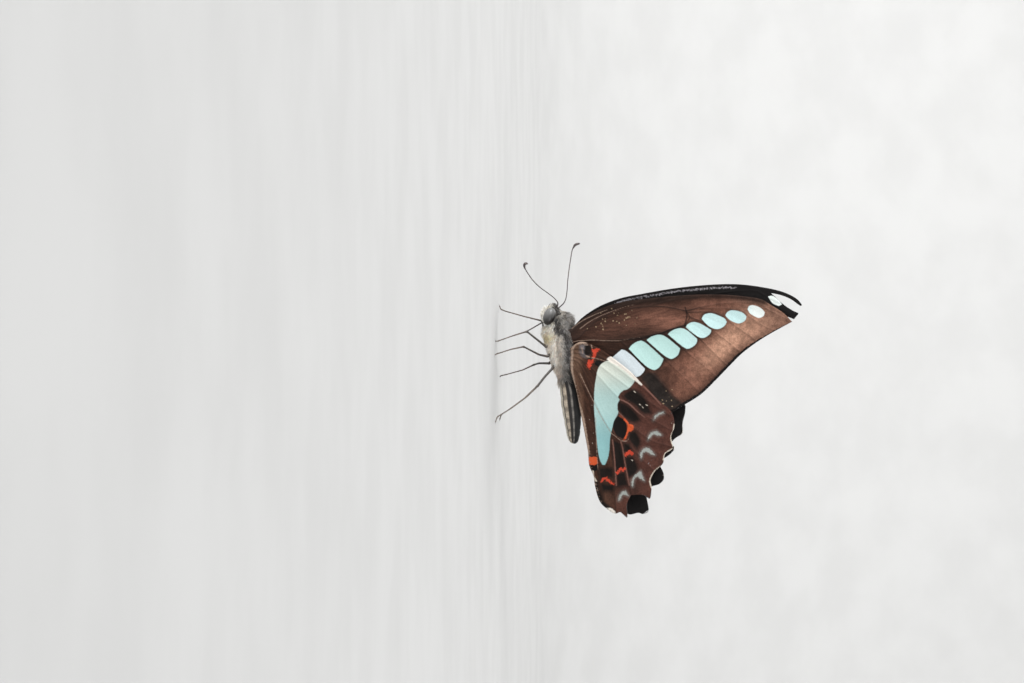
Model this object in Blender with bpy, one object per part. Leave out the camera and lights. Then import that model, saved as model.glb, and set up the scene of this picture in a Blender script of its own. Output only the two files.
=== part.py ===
"""A common bluebottle butterfly with closed wings, standing on its six feet, at life size.

Frame: metres, +Z up along the wings, the head towards -Y, the animal's left side at +X.
The floor is z = 0 and the origin lies on it under the middle of the butterfly.
Sizes below are in millimetres. A place in the side view is (height, y).
"""
import math

import bmesh
import bpy
from mathutils import Matrix, Vector
from mathutils.geometry import delaunay_2d_cdt

MM = 0.001

# Driving sizes
FOREWING_LENGTH = 43.0
MEET_GAP = 0.3
WING_THICKNESS = 0.52
VEIN_HEIGHT = 0.20
VEIN_FADE = 1.2
VEIN_FOOT = 0.32
RIDGE_FOOT = 0.93 * VEIN_FOOT
CREST_MERGE = 0.3
CREST_CLEARANCE = 0.45
MARGIN_CLEARANCE = 0.2

# Body in side view: (belly point, back point, half width), each point as (height, y)
THORAX_STATIONS = [
    ((10.3, -10.4), (11.8, -12.5), 0.8),
    ((9.2, -9.6), (12.9, -12.5), 1.6),
    ((8.6, -8.5), (14.0, -11.6), 2.15),
    ((8.7, -7.1), (14.3, -10.6), 2.35),
    ((9.1, -5.4), (14.1, -8.9), 2.4),
    ((9.7, -3.7), (13.6, -6.7), 2.35),
    ((10.2, -2.2), (13.4, -4.3), 2.1),
    ((10.8, -1.1), (13.5, -2.4), 1.7),
    ((11.5, -0.6), (13.2, -1.4), 1.0),
]
HEAD_STATIONS = [
    ((10.9, -10.3), (12.0, -12.3), 0.9),
    ((9.6, -9.9), (11.4, -13.4), 1.3),
    ((8.8, -10.1), (10.6, -14.1), 1.5),
    ((8.75, -10.8), (9.6, -13.6), 1.25),
    ((9.0, -11.6), (9.2, -12.4), 0.6),
]
ABDOMEN_STATIONS = [
    ((11.2, -1.8), (13.3, -2.5), 1.15),
    ((11.25, -0.2), (14.1, -1.1), 1.45),
    ((11.6, 2.4), (15.2, 1.7), 1.68),
    ((11.8, 4.8), (15.6, 4.3), 1.75),
    ((12.2, 7.0), (15.7, 6.7), 1.7),
    ((12.6, 9.1), (15.6, 8.9), 1.55),
    ((12.9, 10.6), (15.4, 10.6), 1.3),
    ((13.3, 11.5), (15.0, 11.7), 0.85),
    ((13.8, 11.9), (14.5, 12.0), 0.4),
]
# How fine each body's mesh is, as (rings, sides)
THORAX_MESH = (17, 24)
HEAD_MESH = (11, 20)
ABDOMEN_MESH = (33, 20)
ABDOMEN_SEGMENTS = 8
SEGMENT_GROOVE = 0.07

# Eye, an egg that leans back over the cheek
EYE_CENTRE = (9.75, -11.6)
EYE_OUT = 1.3
EYE_INNER_X = 1.2
EYE_HALF_SIZES = (1.25, 1.1, 1.68)
EYE_LEAN = math.radians(68.0)

# Wing roots in the side view, with the sheet's distance from the middle plane there and far out
FOREWING_ROOT = (13.7, -7.8)
HINDWING_ROOT = (13.9, -5.4)
FOREWING_JOINT = (12.4, -7.6)
HINDWING_JOINT = (12.2, -4.8)
FOREWING_FAR_X = 0.43
FOREWING_ROOT_X = 2.75
FOREWING_REACH = 4.0
HINDWING_FAR_X = 1.27
HINDWING_ROOT_X = 2.75
HINDWING_REACH = 10.0
SHOULDER_BULGE = 0.9
SHOULDER_PLACE = (1.3, -1.3)
SHOULDER_REACH = 1.7

# The right wings stand further forward than the left ones, turned about their roots
RIGHT_FOREWING_TURN = math.radians(-4.0)
RIGHT_HINDWING_TURN = math.radians(-6.4)

# Forewing outline from its root, as (height, y) in the side view
FOREWING_STALK = [(0.2, 1.6), (-1.3, 1.4), (-1.8, 0.3), (-1.4, -0.9)]
FOREWING_COSTA = [(0.0, -1.5), (2.4, -3.5), (5.7, -5.3), (9.6, -6.5), (13.3, -7.0), (20.7, -7.7),
                  (28.1, -7.8), (31.9, -7.5), (35.5, -6.8)]
LEFT_APEX_WORN = [(36.4, -6.2), (39.2, -4.4), (40.8, -2.8)]
RIGHT_APEX_TORN = [(39.3, -5.7), (41.2, -4.75), (42.3, -3.9), (FOREWING_LENGTH, -2.9), (42.7, -2.7),
                   (42.1, -3.2), (41.0, -4.1), (39.2, -5.0), (37.4, -5.5), (38.2, -4.7), (39.1, -3.7),
                   (40.9, -2.2), (42.3, -1.4), (41.3, -0.4)]
FOREWING_MARGIN = [(38.6, -1.6), (36.8, -0.6), (34.4, 0.9), (31.5, 3.1), (29.2, 5.4), (26.9, 7.8),
                   (24.0, 10.6), (20.7, 12.7), (18.6, 14.0)]
FOREWING_INNER = [(13.0, 10.6), (7.0, 6.0), (2.6, 2.8)]

# Forewing veins, from the root or the cell out to the margin
FOREWING_VEINS = {
    "radius": [(-0.8, 0.4), (1.2, 0.3), (2.9, -1.3), (5.4, -3.4), (8.5, -4.6), (11.9, -5.4), (16.8, -5.6),
               (21.3, -4.8)],
    "cubitus": [(-0.8, 0.9), (1.7, 0.8), (5.4, 0.7), (9.1, 0.6), (12.8, 0.0), (16.5, -0.7),
                (21.1, -2.2)],
    "cell_end": [(21.3, -4.8), (21.9, -3.6), (21.1, -2.2)],
    "subcosta": [(-0.9, -0.3), (0.9, -1.6), (2.2, -2.6), (4.0, -3.9), (7.0, -5.1), (11.0, -6.1),
                 (16.0, -6.9)],
    "radial_2": [(13.6, -5.5), (19.0, -6.8), (23.5, -7.3)],
    "radial_3": [(21.3, -4.8), (27.5, -6.1), (34.0, -6.2), (36.6, -4.9), (40.0, -3.1)],
    "radial_4": [(24.0, -5.3), (28.8, -5.2), (31.4, -4.8), (32.8, -3.8), (34.6, -2.5), (37.4, -1.1)],
    "radial_5": [(21.4, -4.5), (24.8, -4.6), (27.6, -4.1), (29.0, -3.0), (31.3, -1.3), (34.3, 0.8)],
    "medial_1": [(21.9, -3.6), (24.4, -2.7), (26.1, -1.3), (28.8, 0.8), (31.2, 2.8)],
    "medial_2": [(21.1, -2.2), (24.0, 0.6), (26.6, 3.2), (28.7, 5.2)],
    "medial_3": [(17.0, -0.9), (20.9, 2.4), (24.1, 5.0), (26.9, 7.5)],
    "cubital_1": [(12.8, 0.0), (17.9, 4.7), (23.8, 10.3)],
    "cubital_2": [(9.1, 0.6), (14.3, 6.1), (20.5, 12.4)],
    "anal": [(-0.6, 1.2), (2.4, 2.2), (8.0, 5.8), (13.4, 9.8), (18.2, 13.4)],
}

# Hindwing outline from its root, with teeth and worn notches along the margin
HINDWING_STALK = [(-0.5, 2.3), (-1.8, 2.0), (-2.2, 0.9), (-1.8, -0.1), (-0.2, -0.4)]
HINDWING_COSTA = [(0.7, -1.1), (1.8, -1.5), (3.3, -1.1), (5.2, -0.2), (7.9, 1.7), (10.7, 3.9), (13.5, 6.7),
                  (16.3, 9.6)]
LEFT_HINDWING_MARGIN = [(18.4, 11.5), (18.9, 14.0), (18.3, 16.0), (18.6, 18.1), (17.2, 19.2), (16.8, 20.9),
                        (15.3, 22.4), (14.5, 24.0), (14.7, 25.3), (14.4, 27.4), (13.1, 26.8), (10.9, 26.8),
                        (10.2, 28.3), (10.2, 30.9), (8.9, 29.9), (8.0, 30.2), (6.7, 29.5), (5.3, 28.2)]
RIGHT_HINDWING_MARGIN = [(17.4, 10.6), (19.5, 12.3), (19.6, 13.4), (18.8, 15.9), (18.6, 17.6), (17.2, 18.4),
                         (16.2, 19.2), (16.8, 20.0), (16.3, 20.9), (13.5, 22.4), (14.3, 25.2), (13.5, 26.4),
                         (11.9, 26.8), (10.6, 27.3), (10.8, 31.0), (9.7, 31.7), (8.8, 31.4), (7.1, 31.5),
                         (6.0, 30.4), (5.1, 28.4)]
HINDWING_INNER = [(4.3, 25.3), (4.0, 23.3), (3.2, 21.3), (3.0, 18.9), (1.7, 12.0), (0.8, 7.4), (-0.1, 4.2)]
HINDWING_VEINS = {
    "cubitus": [(-0.9, 1.4), (1.4, 2.6), (2.9, 6.2), (4.9, 10.7), (7.3, 15.0), (9.4, 16.9)],
    "medial_1": [(-0.9, 0.9), (1.6, 1.8), (4.1, 3.9), (6.8, 6.9), (9.1, 9.2), (12.6, 11.7), (18.6, 15.0)],
    "cell_end": [(9.1, 9.2), (8.9, 11.4), (10.0, 13.4), (10.3, 14.6), (9.4, 16.9)],
    "radial_sector": [(-0.9, 0.4), (2.0, 0.9), (5.2, 2.9), (9.8, 6.4), (13.5, 9.1), (18.2, 12.2)],
    "subcosta": [(-0.9, -0.1), (1.6, -0.1), (4.8, 1.1), (8.3, 3.2), (12.0, 6.2), (15.2, 9.0)],
    "medial_2": [(10.0, 13.4), (12.8, 15.5), (14.9, 16.9), (18.4, 17.9)],
    "medial_3": [(9.4, 16.9), (11.6, 18.7), (13.5, 20.8), (15.2, 22.3)],
    "cubital_1": [(9.4, 16.9), (9.8, 19.4), (10.2, 22.2), (10.9, 26.6)],
    "cubital_2": [(7.3, 15.0), (7.5, 18.5), (7.6, 22.2), (8.1, 30.0)],
    "anal": [(-0.7, 1.9), (0.9, 4.2), (2.6, 7.8), (3.9, 10.7), (4.5, 14.8), (4.8, 19.4), (5.0, 23.3),
             (5.9, 27.7)],
}
VEIN_STEP = 1.4
MARGIN_STEP = 1.1
CORNER_TURN = math.radians(50.0)
FIELD_STEP = 2.5
FIELD_CLEARANCE = 1.0

# Legs: points as (x, y, z) with the radius there; the last two points lie on the floor
FOOT_RADIUS = 0.26
FOOT_HEIGHT = 0.20
ANKLE_LIFT = 0.05
LEG_STEP = 0.8
JOINT_ROUNDING = 0.08
FORE_LEG_LEFT = [((0.8, -7.0, 10.0), 0.42), ((0.95, -5.9, 9.1), 0.38), ((3.6, -8.8, 5.55), 0.33),
                 ((4.9, -8.1, 3.3), 0.27), ((6.1, -7.3, 1.1), 0.26)]
FORE_LEG_RIGHT = [((-0.8, -6.8, 10.0), 0.42), ((-1.3, -7.2, 8.9), 0.38), ((-3.3, -10.8, 8.15), 0.33),
                  ((-4.8, -11.6, 4.9), 0.27), ((-6.2, -12.6, 1.3), 0.26)]
MID_LEG_LEFT = [((0.9, -4.9, 10.4), 0.42), ((1.1, -4.2, 9.3), 0.38), ((2.0, -4.5, 7.8), 0.36),
                ((4.6, -6.0, 5.0), 0.33), ((6.6, -5.5, 2.7), 0.27), ((8.2, -4.9, 0.9), 0.26)]
MID_LEG_RIGHT = [((-0.9, -4.0, 10.6), 0.42), ((-1.1, -2.9, 9.6), 0.38), ((-3.2, -2.9, 7.6), 0.35),
                 ((-4.4, -2.6, 6.6), 0.33), ((-5.8, -1.6, 4.4), 0.27), ((-7.8, -0.8, 1.5), 0.26)]
HIND_LEG = [((0.9, -3.0, 11.0), 0.42), ((1.1, -2.0, 10.2), 0.38), ((2.3, -0.6, 8.9), 0.36),
            ((3.8, 1.3, 7.4), 0.33), ((5.6, 3.5, 5.1), 0.27), ((7.4, 5.7, 2.1), 0.26)]
FORE_FOOT_LEFT = [(6.6, -7.0), (7.9, -7.0)]
FORE_FOOT_RIGHT = [(-6.7, -13.0), (-7.7, -13.7)]
MID_FOOT_LEFT = [(8.8, -4.7), (10.1, -4.5)]
MID_FOOT_RIGHT = [(-8.8, -0.5), (-10.1, -0.3)]
HIND_FOOT = [(8.1, 6.8), (8.8, 7.8)]

# Feelers, palp and proboscis: points as (x, y, z)
ANTENNA_LEFT = [(0.45, -13.0, 10.9), (0.7, -14.0, 11.3), (1.4, -14.9, 10.7), (2.4, -15.8, 9.6),
                (3.8, -16.9, 8.1), (5.2, -18.2, 6.8), (6.3, -19.5, 5.9), (7.0, -20.4, 5.4)]
CLUB_LEFT = [(7.3, -21.0, 5.35), (7.3, -21.2, 5.65), (7.2, -21.1, 6.0)]
ANTENNA_RIGHT = [(-0.45, -13.0, 11.2), (-0.8, -14.0, 12.3), (-1.4, -15.0, 12.75), (-2.2, -16.5, 12.95),
                 (-3.1, -18.3, 13.05), (-4.0, -20.2, 13.25), (-4.8, -22.0, 13.5), (-5.5, -23.9, 13.8)]
CLUB_RIGHT = [(-5.8, -24.6, 14.1), (-5.9, -25.1, 14.5), (-6.0, -25.3, 15.3)]
FEELER_RADIUS = 0.25
CLUB_RADIUS = 0.36
CLUB_SWELL_STEPS = 3
FEELER_STEP = 1.0
PALP_PATH = [(0.62, -10.5, 9.3), (0.58, -11.0, 8.6), (0.5, -12.0, 8.45), (0.42, -13.2, 8.8)]
PALP_RADII = [0.30, 0.34, 0.34, 0.25]
PALP_STEP = 0.6
PROBOSCIS_PATH = [(0.0, -10.9, 9.2), (0.0, -10.3, 8.1), (0.0, -8.9, 5.6), (0.0, -8.2, 3.6), (0.0, -7.5, 1.5),
                  (0.0, -7.2, 0.75)]
PROBOSCIS_RADIUS = 0.26
PROBOSCIS_STEP = 0.9

COLOURS = {
    "thorax": (0.30, 0.26, 0.21),
    "head": (0.34, 0.30, 0.24),
    "abdomen": (0.28, 0.24, 0.19),
    "eye": (0.03, 0.028, 0.03),
    "horn": (0.035, 0.028, 0.025),
    "palp": (0.62, 0.55, 0.40),
    "underwing": (0.115, 0.062, 0.048),
}


def remove_everything():
    """Clear the file of the objects that it opens with."""
    for thing in list(bpy.data.objects):
        bpy.data.objects.remove(thing, do_unlink=True)


def material(name, colour, roughness=0.6):
    """A plain finish of one colour."""
    made = bpy.data.materials.new(name)
    made.use_nodes = True
    shader = made.node_tree.nodes["Principled BSDF"]
    shader.inputs["Base Color"].default_value = (*colour, 1.0)
    shader.inputs["Roughness"].default_value = roughness
    shader.inputs["Metallic"].default_value = 0.0
    return made


def add_object(name, bm, look, smooth=True):
    """Give the mesh in bm, whose points are in millimetres, to a new object of that name."""
    bmesh.ops.scale(bm, vec=(MM, MM, MM), verts=bm.verts)
    bmesh.ops.recalc_face_normals(bm, faces=bm.faces)
    mesh = bpy.data.meshes.new(name)
    bm.to_mesh(mesh)
    bm.free()
    if smooth:
        mesh.shade_smooth()
    made = bpy.data.objects.new(name, mesh)
    made.parent = BODY
    made.data.materials.append(look)
    bpy.context.collection.objects.link(made)
    return made


def smooth_path(points, step, closed=False):
    """Points about one step apart along a Catmull-Rom curve through the given vectors."""
    count = len(points)
    path = []
    spans = count if closed else count - 1
    for i in range(spans):
        if closed:
            before, start, end, after = (points[(i + k) % count] for k in (-1, 0, 1, 2))
        else:
            before, start = points[max(i - 1, 0)], points[i]
            end, after = points[i + 1], points[min(i + 2, count - 1)]
        pieces = max(1, round((end - start).length / step))
        for j in range(pieces):
            t = j / pieces
            path.append(0.5 * (2 * start + (end - before) * t
                               + (2 * before - 5 * start + 4 * end - after) * t ** 2
                               + (3 * start - before - 3 * end + after) * t ** 3))
    if not closed:
        path.append(points[-1].copy())
    return path


def station_at(stations, place):
    """Belly point, back point and half width at a place counted in stations."""
    i = min(int(place), len(stations) - 2)
    t = place - i
    picked = [stations[max(0, min(len(stations) - 1, i + k))] for k in (-1, 0, 1, 2)]
    blended = []
    for field in range(3):
        a, b, c, d = (Vector(s[field]) if field < 2 else s[field] for s in picked)
        blended.append(0.5 * (2 * b + (c - a) * t + (2 * a - 5 * b + 4 * c - d) * t ** 2
                              + (3 * b - a - 3 * c + d) * t ** 3))
    return blended


def lofted_body(stations, fineness, grow=0.0, groove=0.0, segments=0):
    """A body of elliptical rings between belly and back points, its ends closed by flat caps."""
    bm = bmesh.new()
    rings, sides = fineness
    loops = []
    nose, tail = (Vector(stations[k][0]) + Vector(stations[k][1]) for k in (0, -1))
    for r in range(rings):
        place = (len(stations) - 1) * r / (rings - 1)
        belly, back, half_width = station_at(stations, place)
        centre = (belly + back) / 2
        up = (back - belly) / 2
        if grow:
            along = Vector((-up.y, up.x)).normalized()
            heading = 1.0 if along.dot(tail - nose) > 0 else -1.0
            end_push = grow if r == rings - 1 else -grow if r == 0 else 0.0
            centre = centre + along * heading * end_push
            up = up * (1 + grow / up.length)
            half_width += grow
        if segments and 0 < r < rings - 1:
            wave = 0.5 - 0.5 * math.cos(2 * math.pi * segments * r / (rings - 1))
            up = up * (1 - groove * (1 - wave))
            half_width *= 1 - groove * (1 - wave)
        ring = []
        for s in range(sides):
            angle = 2 * math.pi * s / sides
            place_2d = centre + up * math.sin(angle)
            ring.append(bm.verts.new((half_width * math.cos(angle), place_2d.y, place_2d.x)))
        loops.append(ring)
    for ring, following in zip(loops, loops[1:]):
        for s in range(sides):
            bm.faces.new((ring[s], ring[(s + 1) % sides], following[(s + 1) % sides], following[s]))
    bm.faces.new(loops[0])
    bm.faces.new(list(reversed(loops[-1])))
    bmesh.ops.triangulate(bm, faces=bm.faces)
    return bm


def clearance(name, stations, fineness):
    """A hidden cutter: the body grown by the gap that touching nodes keep."""
    cutter = add_object(name, lofted_body(stations, fineness, grow=MEET_GAP), HORN)
    cutter.display_type = "WIRE"
    cutter.hide_render = True
    return cutter


def cut_clear(thing, *cutters):
    """Trim a part that grows from a body so that it meets the body face to face."""
    for cutter in cutters:
        cut = thing.modifiers.new("meet_" + cutter.name, "BOOLEAN")
        cut.operation = "DIFFERENCE"
        cut.object = cutter


def tube(name, path, radii, look, sides=8, on_floor=False):
    """A round limb along a path of vectors, with a flat underside where it rests on the floor."""
    bm = bmesh.new()
    loops = []
    side_way = Vector((1.0, 0.0, 0.0))
    for i, point in enumerate(path):
        tangent = (path[min(i + 1, len(path) - 1)] - path[max(i - 1, 0)]).normalized()
        side_way = (side_way - tangent * side_way.dot(tangent)).normalized()
        other_way = tangent.cross(side_way)
        ring = []
        for s in range(sides):
            angle = 2 * math.pi * (s + 0.5) / sides
            corner = point + radii[i] * (side_way * math.cos(angle) + other_way * math.sin(angle))
            ring.append(bm.verts.new(corner))
        loops.append(ring)
    for ring, following in zip(loops, loops[1:]):
        for s in range(sides):
            bm.faces.new((ring[s], ring[(s + 1) % sides], following[(s + 1) % sides], following[s]))
    for ring in (loops[0], loops[-1]):
        bm.faces.new(ring)
    bmesh.ops.recalc_face_normals(bm, faces=bm.faces)
    if on_floor:
        whole = bm.verts[:] + bm.edges[:] + bm.faces[:]
        cut = bmesh.ops.bisect_plane(bm, geom=whole, plane_co=(0, 0, 0), plane_no=(0, 0, -1),
                                     clear_outer=True)
        bmesh.ops.holes_fill(bm, edges=[e for e in cut["geom_cut"] if isinstance(e, bmesh.types.BMEdge)])
    bmesh.ops.triangulate(bm, faces=bm.faces)
    return add_object(name, bm, look)


def leg(name, joints, foot, side=1.0):
    """A leg from the breast down to a foot whose last stretch lies flat on the floor."""
    points = [Vector((p[0] * side, p[1], p[2])) for p, _ in joints]
    widths = [r for _, r in joints]
    points += [Vector((x * side, y, FOOT_HEIGHT + lift)) for (x, y), lift in zip(foot, (ANKLE_LIFT, 0.0))]
    widths += [FOOT_RADIUS, FOOT_RADIUS]
    path, radii = [], []
    for i in range(len(points) - 1):
        span = [points[max(i - 1, 0)], points[i], points[i + 1], points[min(i + 2, len(points) - 1)]]
        pieces = max(1, round((points[i + 1] - points[i]).length / LEG_STEP))
        for j in range(pieces):
            t = j / pieces
            bow = (span[1] + span[2] - span[0] - span[3]) * JOINT_ROUNDING * t * (1 - t)
            path.append(span[1].lerp(span[2], t) + bow)
            radii.append(widths[i] + (widths[i + 1] - widths[i]) * t)
    path.append(points[-1])
    radii.append(widths[-1])
    return tube(name, path, radii, HORN, on_floor=True)


def feeler(name, shaft, club):
    """A feeler with its thicker club at the tip."""
    path = smooth_path([Vector(p) for p in shaft + club], FEELER_STEP)
    club_start = Vector(shaft[-1])
    start = min(range(len(path)), key=lambda i: (path[i] - club_start).length)
    radii = []
    for i in range(len(path)):
        swell = max(0.0, min(1.0, (i - start + 1) / CLUB_SWELL_STEPS))
        radii.append(FEELER_RADIUS + (CLUB_RADIUS - FEELER_RADIUS) * swell)
    radii[-1] = FEELER_RADIUS
    return tube(name, path, radii, HORN)


def turned(points, turn):
    """Points of the side view turned about a wing's root."""
    return [(u * math.cos(turn) - v * math.sin(turn), u * math.sin(turn) + v * math.cos(turn))
            for u, v in points]


def outline_loop(*stretches):
    """One closed loop of 2-D points. Long smooth stretches are curved and sharp corners stay."""
    corners = [Vector(p) for stretch in stretches for p in stretch]
    count = len(corners)
    loop = []
    for i in range(count):
        before, start, end, after = (corners[(i + k) % count] for k in (-1, 0, 1, 2))
        into, span, out = start - before, end - start, after - end
        lead = trail = span.normalized()
        if into.angle(span) < CORNER_TURN:
            lead = (into.normalized() + span.normalized()) / 2
        if span.angle(out) < CORNER_TURN:
            trail = (span.normalized() + out.normalized()) / 2
        pieces = max(1, round(span.length / MARGIN_STEP))
        for j in range(pieces):
            t = j / pieces
            hermite = (start * (2 * t ** 3 - 3 * t ** 2 + 1) + end * (3 * t ** 2 - 2 * t ** 3)
                       + lead * span.length * (t ** 3 - 2 * t ** 2 + t)
                       + trail * span.length * (t ** 3 - t ** 2))
            loop.append(hermite)
    return loop


def nearest_on_line(point, line):
    """Distance from a point to the nearest place on a line of points."""
    best = None
    for start, end in zip(line, line[1:]):
        span = end - start
        t = max(0.0, min(1.0, (point - start).dot(span) / max(span.length_squared, 1e-9)))
        gap = (point - start - span * t).length
        best = gap if best is None else min(best, gap)
    return best


def inside_loop(point, loop):
    """Whether a point lies inside a closed loop, by counting the edges that it would cross."""
    inside = False
    for a, b in zip(loop, loop[1:] + loop[:1]):
        if (a.y > point.y) != (b.y > point.y):
            if point.x < a.x + (b.x - a.x) * (point.y - a.y) / (b.y - a.y):
                inside = not inside
    return inside


def wing_net(loop, veins):
    """Triangles of a wing in its own plane, with the height of the vein ridge at each point."""
    lines = [smooth_path([Vector(p) for p in vein], VEIN_STEP) for vein in veins]
    ring = loop + loop[:1]
    places, edges = list(loop), []
    crest_from = len(places)

    def add(point):
        for index in range(crest_from, len(places)):
            if (places[index] - point).length < CREST_MERGE:
                return index
        places.append(point)
        return len(places) - 1

    def inside(point, margin):
        return inside_loop(point, loop) and nearest_on_line(point, ring) > margin

    for number, line in enumerate(lines):
        previous = None
        for i, point in enumerate(line):
            if not inside(point, MARGIN_CLEARANCE):
                previous = None
                continue
            at_end = i in (0, len(line) - 1)
            gaps = [nearest_on_line(point, other) for other in lines[:number]]
            if not at_end and any(gap < CREST_CLEARANCE for gap in gaps):
                continue
            index = add(point)
            if previous is not None and previous != index:
                edges.append((previous, index))
            previous = index
    feet_from = len(places)
    for line in lines:
        for way in (-1, 1):
            previous = None
            for i, point in enumerate(line):
                along = (line[min(i + 1, len(line) - 1)] - line[max(i - 1, 0)]).normalized()
                foot = point + Vector((-along.y, along.x)) * VEIN_FOOT * way
                off_ridges = all(nearest_on_line(foot, other) > RIDGE_FOOT for other in lines)
                crowded = any((foot - place).length < CREST_MERGE for place in places[feet_from:])
                if not off_ridges or crowded or not inside(foot, MARGIN_CLEARANCE):
                    previous = None
                    continue
                places.append(foot)
                if previous is not None:
                    edges.append((previous, len(places) - 1))
                previous = len(places) - 1
    low = Vector((min(p.x for p in loop), min(p.y for p in loop)))
    high = Vector((max(p.x for p in loop), max(p.y for p in loop)))
    row_step = FIELD_STEP * math.sqrt(0.75)
    for row in range(int((high.y - low.y) / row_step) + 1):
        for column in range(int((high.x - low.x) / FIELD_STEP) + 1):
            point = low + Vector(((column + 0.5 * (row % 2)) * FIELD_STEP, row * row_step))
            if inside(point, FIELD_CLEARANCE) and all((point - p).length > FIELD_CLEARANCE for p in places):
                places.append(point)
    rim = [(i, (i + 1) % len(loop)) for i in range(len(loop))]
    found, _, triangles, _, _, _ = delaunay_2d_cdt(places, rim + edges, [list(range(len(loop)))], 1, 1e-4)
    ridge = []
    for place in found:
        on_vein = max(0.0, 1 - min(nearest_on_line(place, line) for line in lines) / RIDGE_FOOT)
        off_margin = min(1.0, nearest_on_line(place, ring) / VEIN_FADE)
        ridge.append(VEIN_HEIGHT * on_vein * off_margin)
    return found, ridge, triangles


def forewing_x(height, y):
    """Distance of the forewing's sheet from the middle plane, wide at the joint and small further out."""
    away = math.hypot(height - FOREWING_JOINT[0], y - FOREWING_JOINT[1])
    return FOREWING_FAR_X + (FOREWING_ROOT_X - FOREWING_FAR_X) * math.exp(-(away / FOREWING_REACH) ** 1.5)


def hindwing_x(height, y):
    """Distance of the hindwing's sheet from the middle plane, with the bulge of its shoulder."""
    away = math.hypot(height - HINDWING_JOINT[0], y - HINDWING_JOINT[1])
    bulge_height = HINDWING_ROOT[0] + SHOULDER_PLACE[0]
    bulge_y = HINDWING_ROOT[1] + SHOULDER_PLACE[1]
    shoulder = math.hypot(height - bulge_height, y - bulge_y)
    spread = (HINDWING_ROOT_X - HINDWING_FAR_X) * math.exp(-(away / HINDWING_REACH) ** 2)
    return HINDWING_FAR_X + spread + SHOULDER_BULGE * math.exp(-(shoulder / SHOULDER_REACH) ** 2)


def wing(name, root, loop, veins, sheet_x, side, turn):
    """A membrane with raised veins on its outer face, bent by sheet_x, turned about its root."""
    places, ridge, triangles = wing_net(loop, veins)
    bm = bmesh.new()
    faces_of = {}
    for layer in (-1, 1):
        verts = []
        for place, lift in zip(places, ridge):
            u, v = turned([(place.x, place.y)], turn)[0]
            height, y = root[0] + u, root[1] + v
            x = sheet_x(height, y) + layer * WING_THICKNESS / 2 + (lift if layer > 0 else 0.0)
            verts.append(bm.verts.new((x * side, y, height)))
        faces_of[layer] = verts
    uses = {}
    for triangle in triangles:
        for layer in (-1, 1):
            order = triangle if layer > 0 else list(reversed(triangle))
            bm.faces.new([faces_of[layer][k] for k in order])
        for a, b in zip(triangle, list(triangle[1:]) + [triangle[0]]):
            uses.setdefault((min(a, b), max(a, b)), []).append((a, b))
    for shared in uses.values():
        if len(shared) == 1:
            a, b = shared[0]
            near, far = faces_of[1], faces_of[-1]
            bm.faces.new((near[b], near[a], far[a]))
            bm.faces.new((near[b], far[a], far[b]))
    return add_object(name, bm, UNDERWING, smooth=False)


def eye(name, side):
    """A compound eye, flat where it sits on the side of the head."""
    bm = bmesh.new()
    bmesh.ops.create_uvsphere(bm, u_segments=20, v_segments=12, radius=1.0)
    lean = Matrix.Rotation(EYE_LEAN, 4, "X")
    bmesh.ops.scale(bm, vec=EYE_HALF_SIZES, verts=bm.verts)
    bmesh.ops.rotate(bm, cent=(0, 0, 0), matrix=lean, verts=bm.verts)
    bmesh.ops.translate(bm, vec=(EYE_OUT * side, EYE_CENTRE[1], EYE_CENTRE[0]), verts=bm.verts)
    whole = bm.verts[:] + bm.edges[:] + bm.faces[:]
    cut = bmesh.ops.bisect_plane(bm, geom=whole, plane_co=(EYE_INNER_X * side, 0, 0), plane_no=(-side, 0, 0),
                                 clear_outer=True)
    bmesh.ops.holes_fill(bm, edges=[e for e in cut["geom_cut"] if isinstance(e, bmesh.types.BMEdge)])
    bmesh.ops.triangulate(bm, faces=bm.faces)
    return add_object(name, bm, EYE)


remove_everything()
BODY = bpy.data.objects.new("butterfly", None)
bpy.context.collection.objects.link(BODY)
HORN = material("dark_horn", COLOURS["horn"], 0.45)
EYE = material("eye", COLOURS["eye"], 0.15)
UNDERWING = material("underwing", COLOURS["underwing"], 0.6)

add_object("thorax", lofted_body(THORAX_STATIONS, THORAX_MESH), material("thorax", COLOURS["thorax"], 0.9))
head = add_object("head", lofted_body(HEAD_STATIONS, HEAD_MESH), material("head", COLOURS["head"], 0.9))
abdomen_body = lofted_body(ABDOMEN_STATIONS, ABDOMEN_MESH, groove=SEGMENT_GROOVE, segments=ABDOMEN_SEGMENTS)
abdomen = add_object("abdomen", abdomen_body, material("abdomen", COLOURS["abdomen"], 0.8))
thorax_clearance = clearance("thorax_clearance", THORAX_STATIONS, THORAX_MESH)
head_clearance = clearance("head_clearance", HEAD_STATIONS, HEAD_MESH)
cut_clear(head, thorax_clearance)
cut_clear(abdomen, thorax_clearance)

for side, word in ((1.0, "left"), (-1.0, "right")):
    cut_clear(eye("eye_" + word, side), head_clearance, thorax_clearance)
    palp_path = smooth_path([Vector((x * side, y, z)) for x, y, z in PALP_PATH], PALP_STEP)
    last = len(PALP_RADII) - 1
    palp_radii = [PALP_RADII[round(last * i / (len(palp_path) - 1))] for i in range(len(palp_path))]
    palp = tube("palp_" + word, palp_path, palp_radii, material("palp_" + word, COLOURS["palp"], 0.9))
    cut_clear(palp, head_clearance, thorax_clearance)
    cut_clear(leg("leg_hind_" + word, HIND_LEG, HIND_FOOT, side), thorax_clearance)

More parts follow.
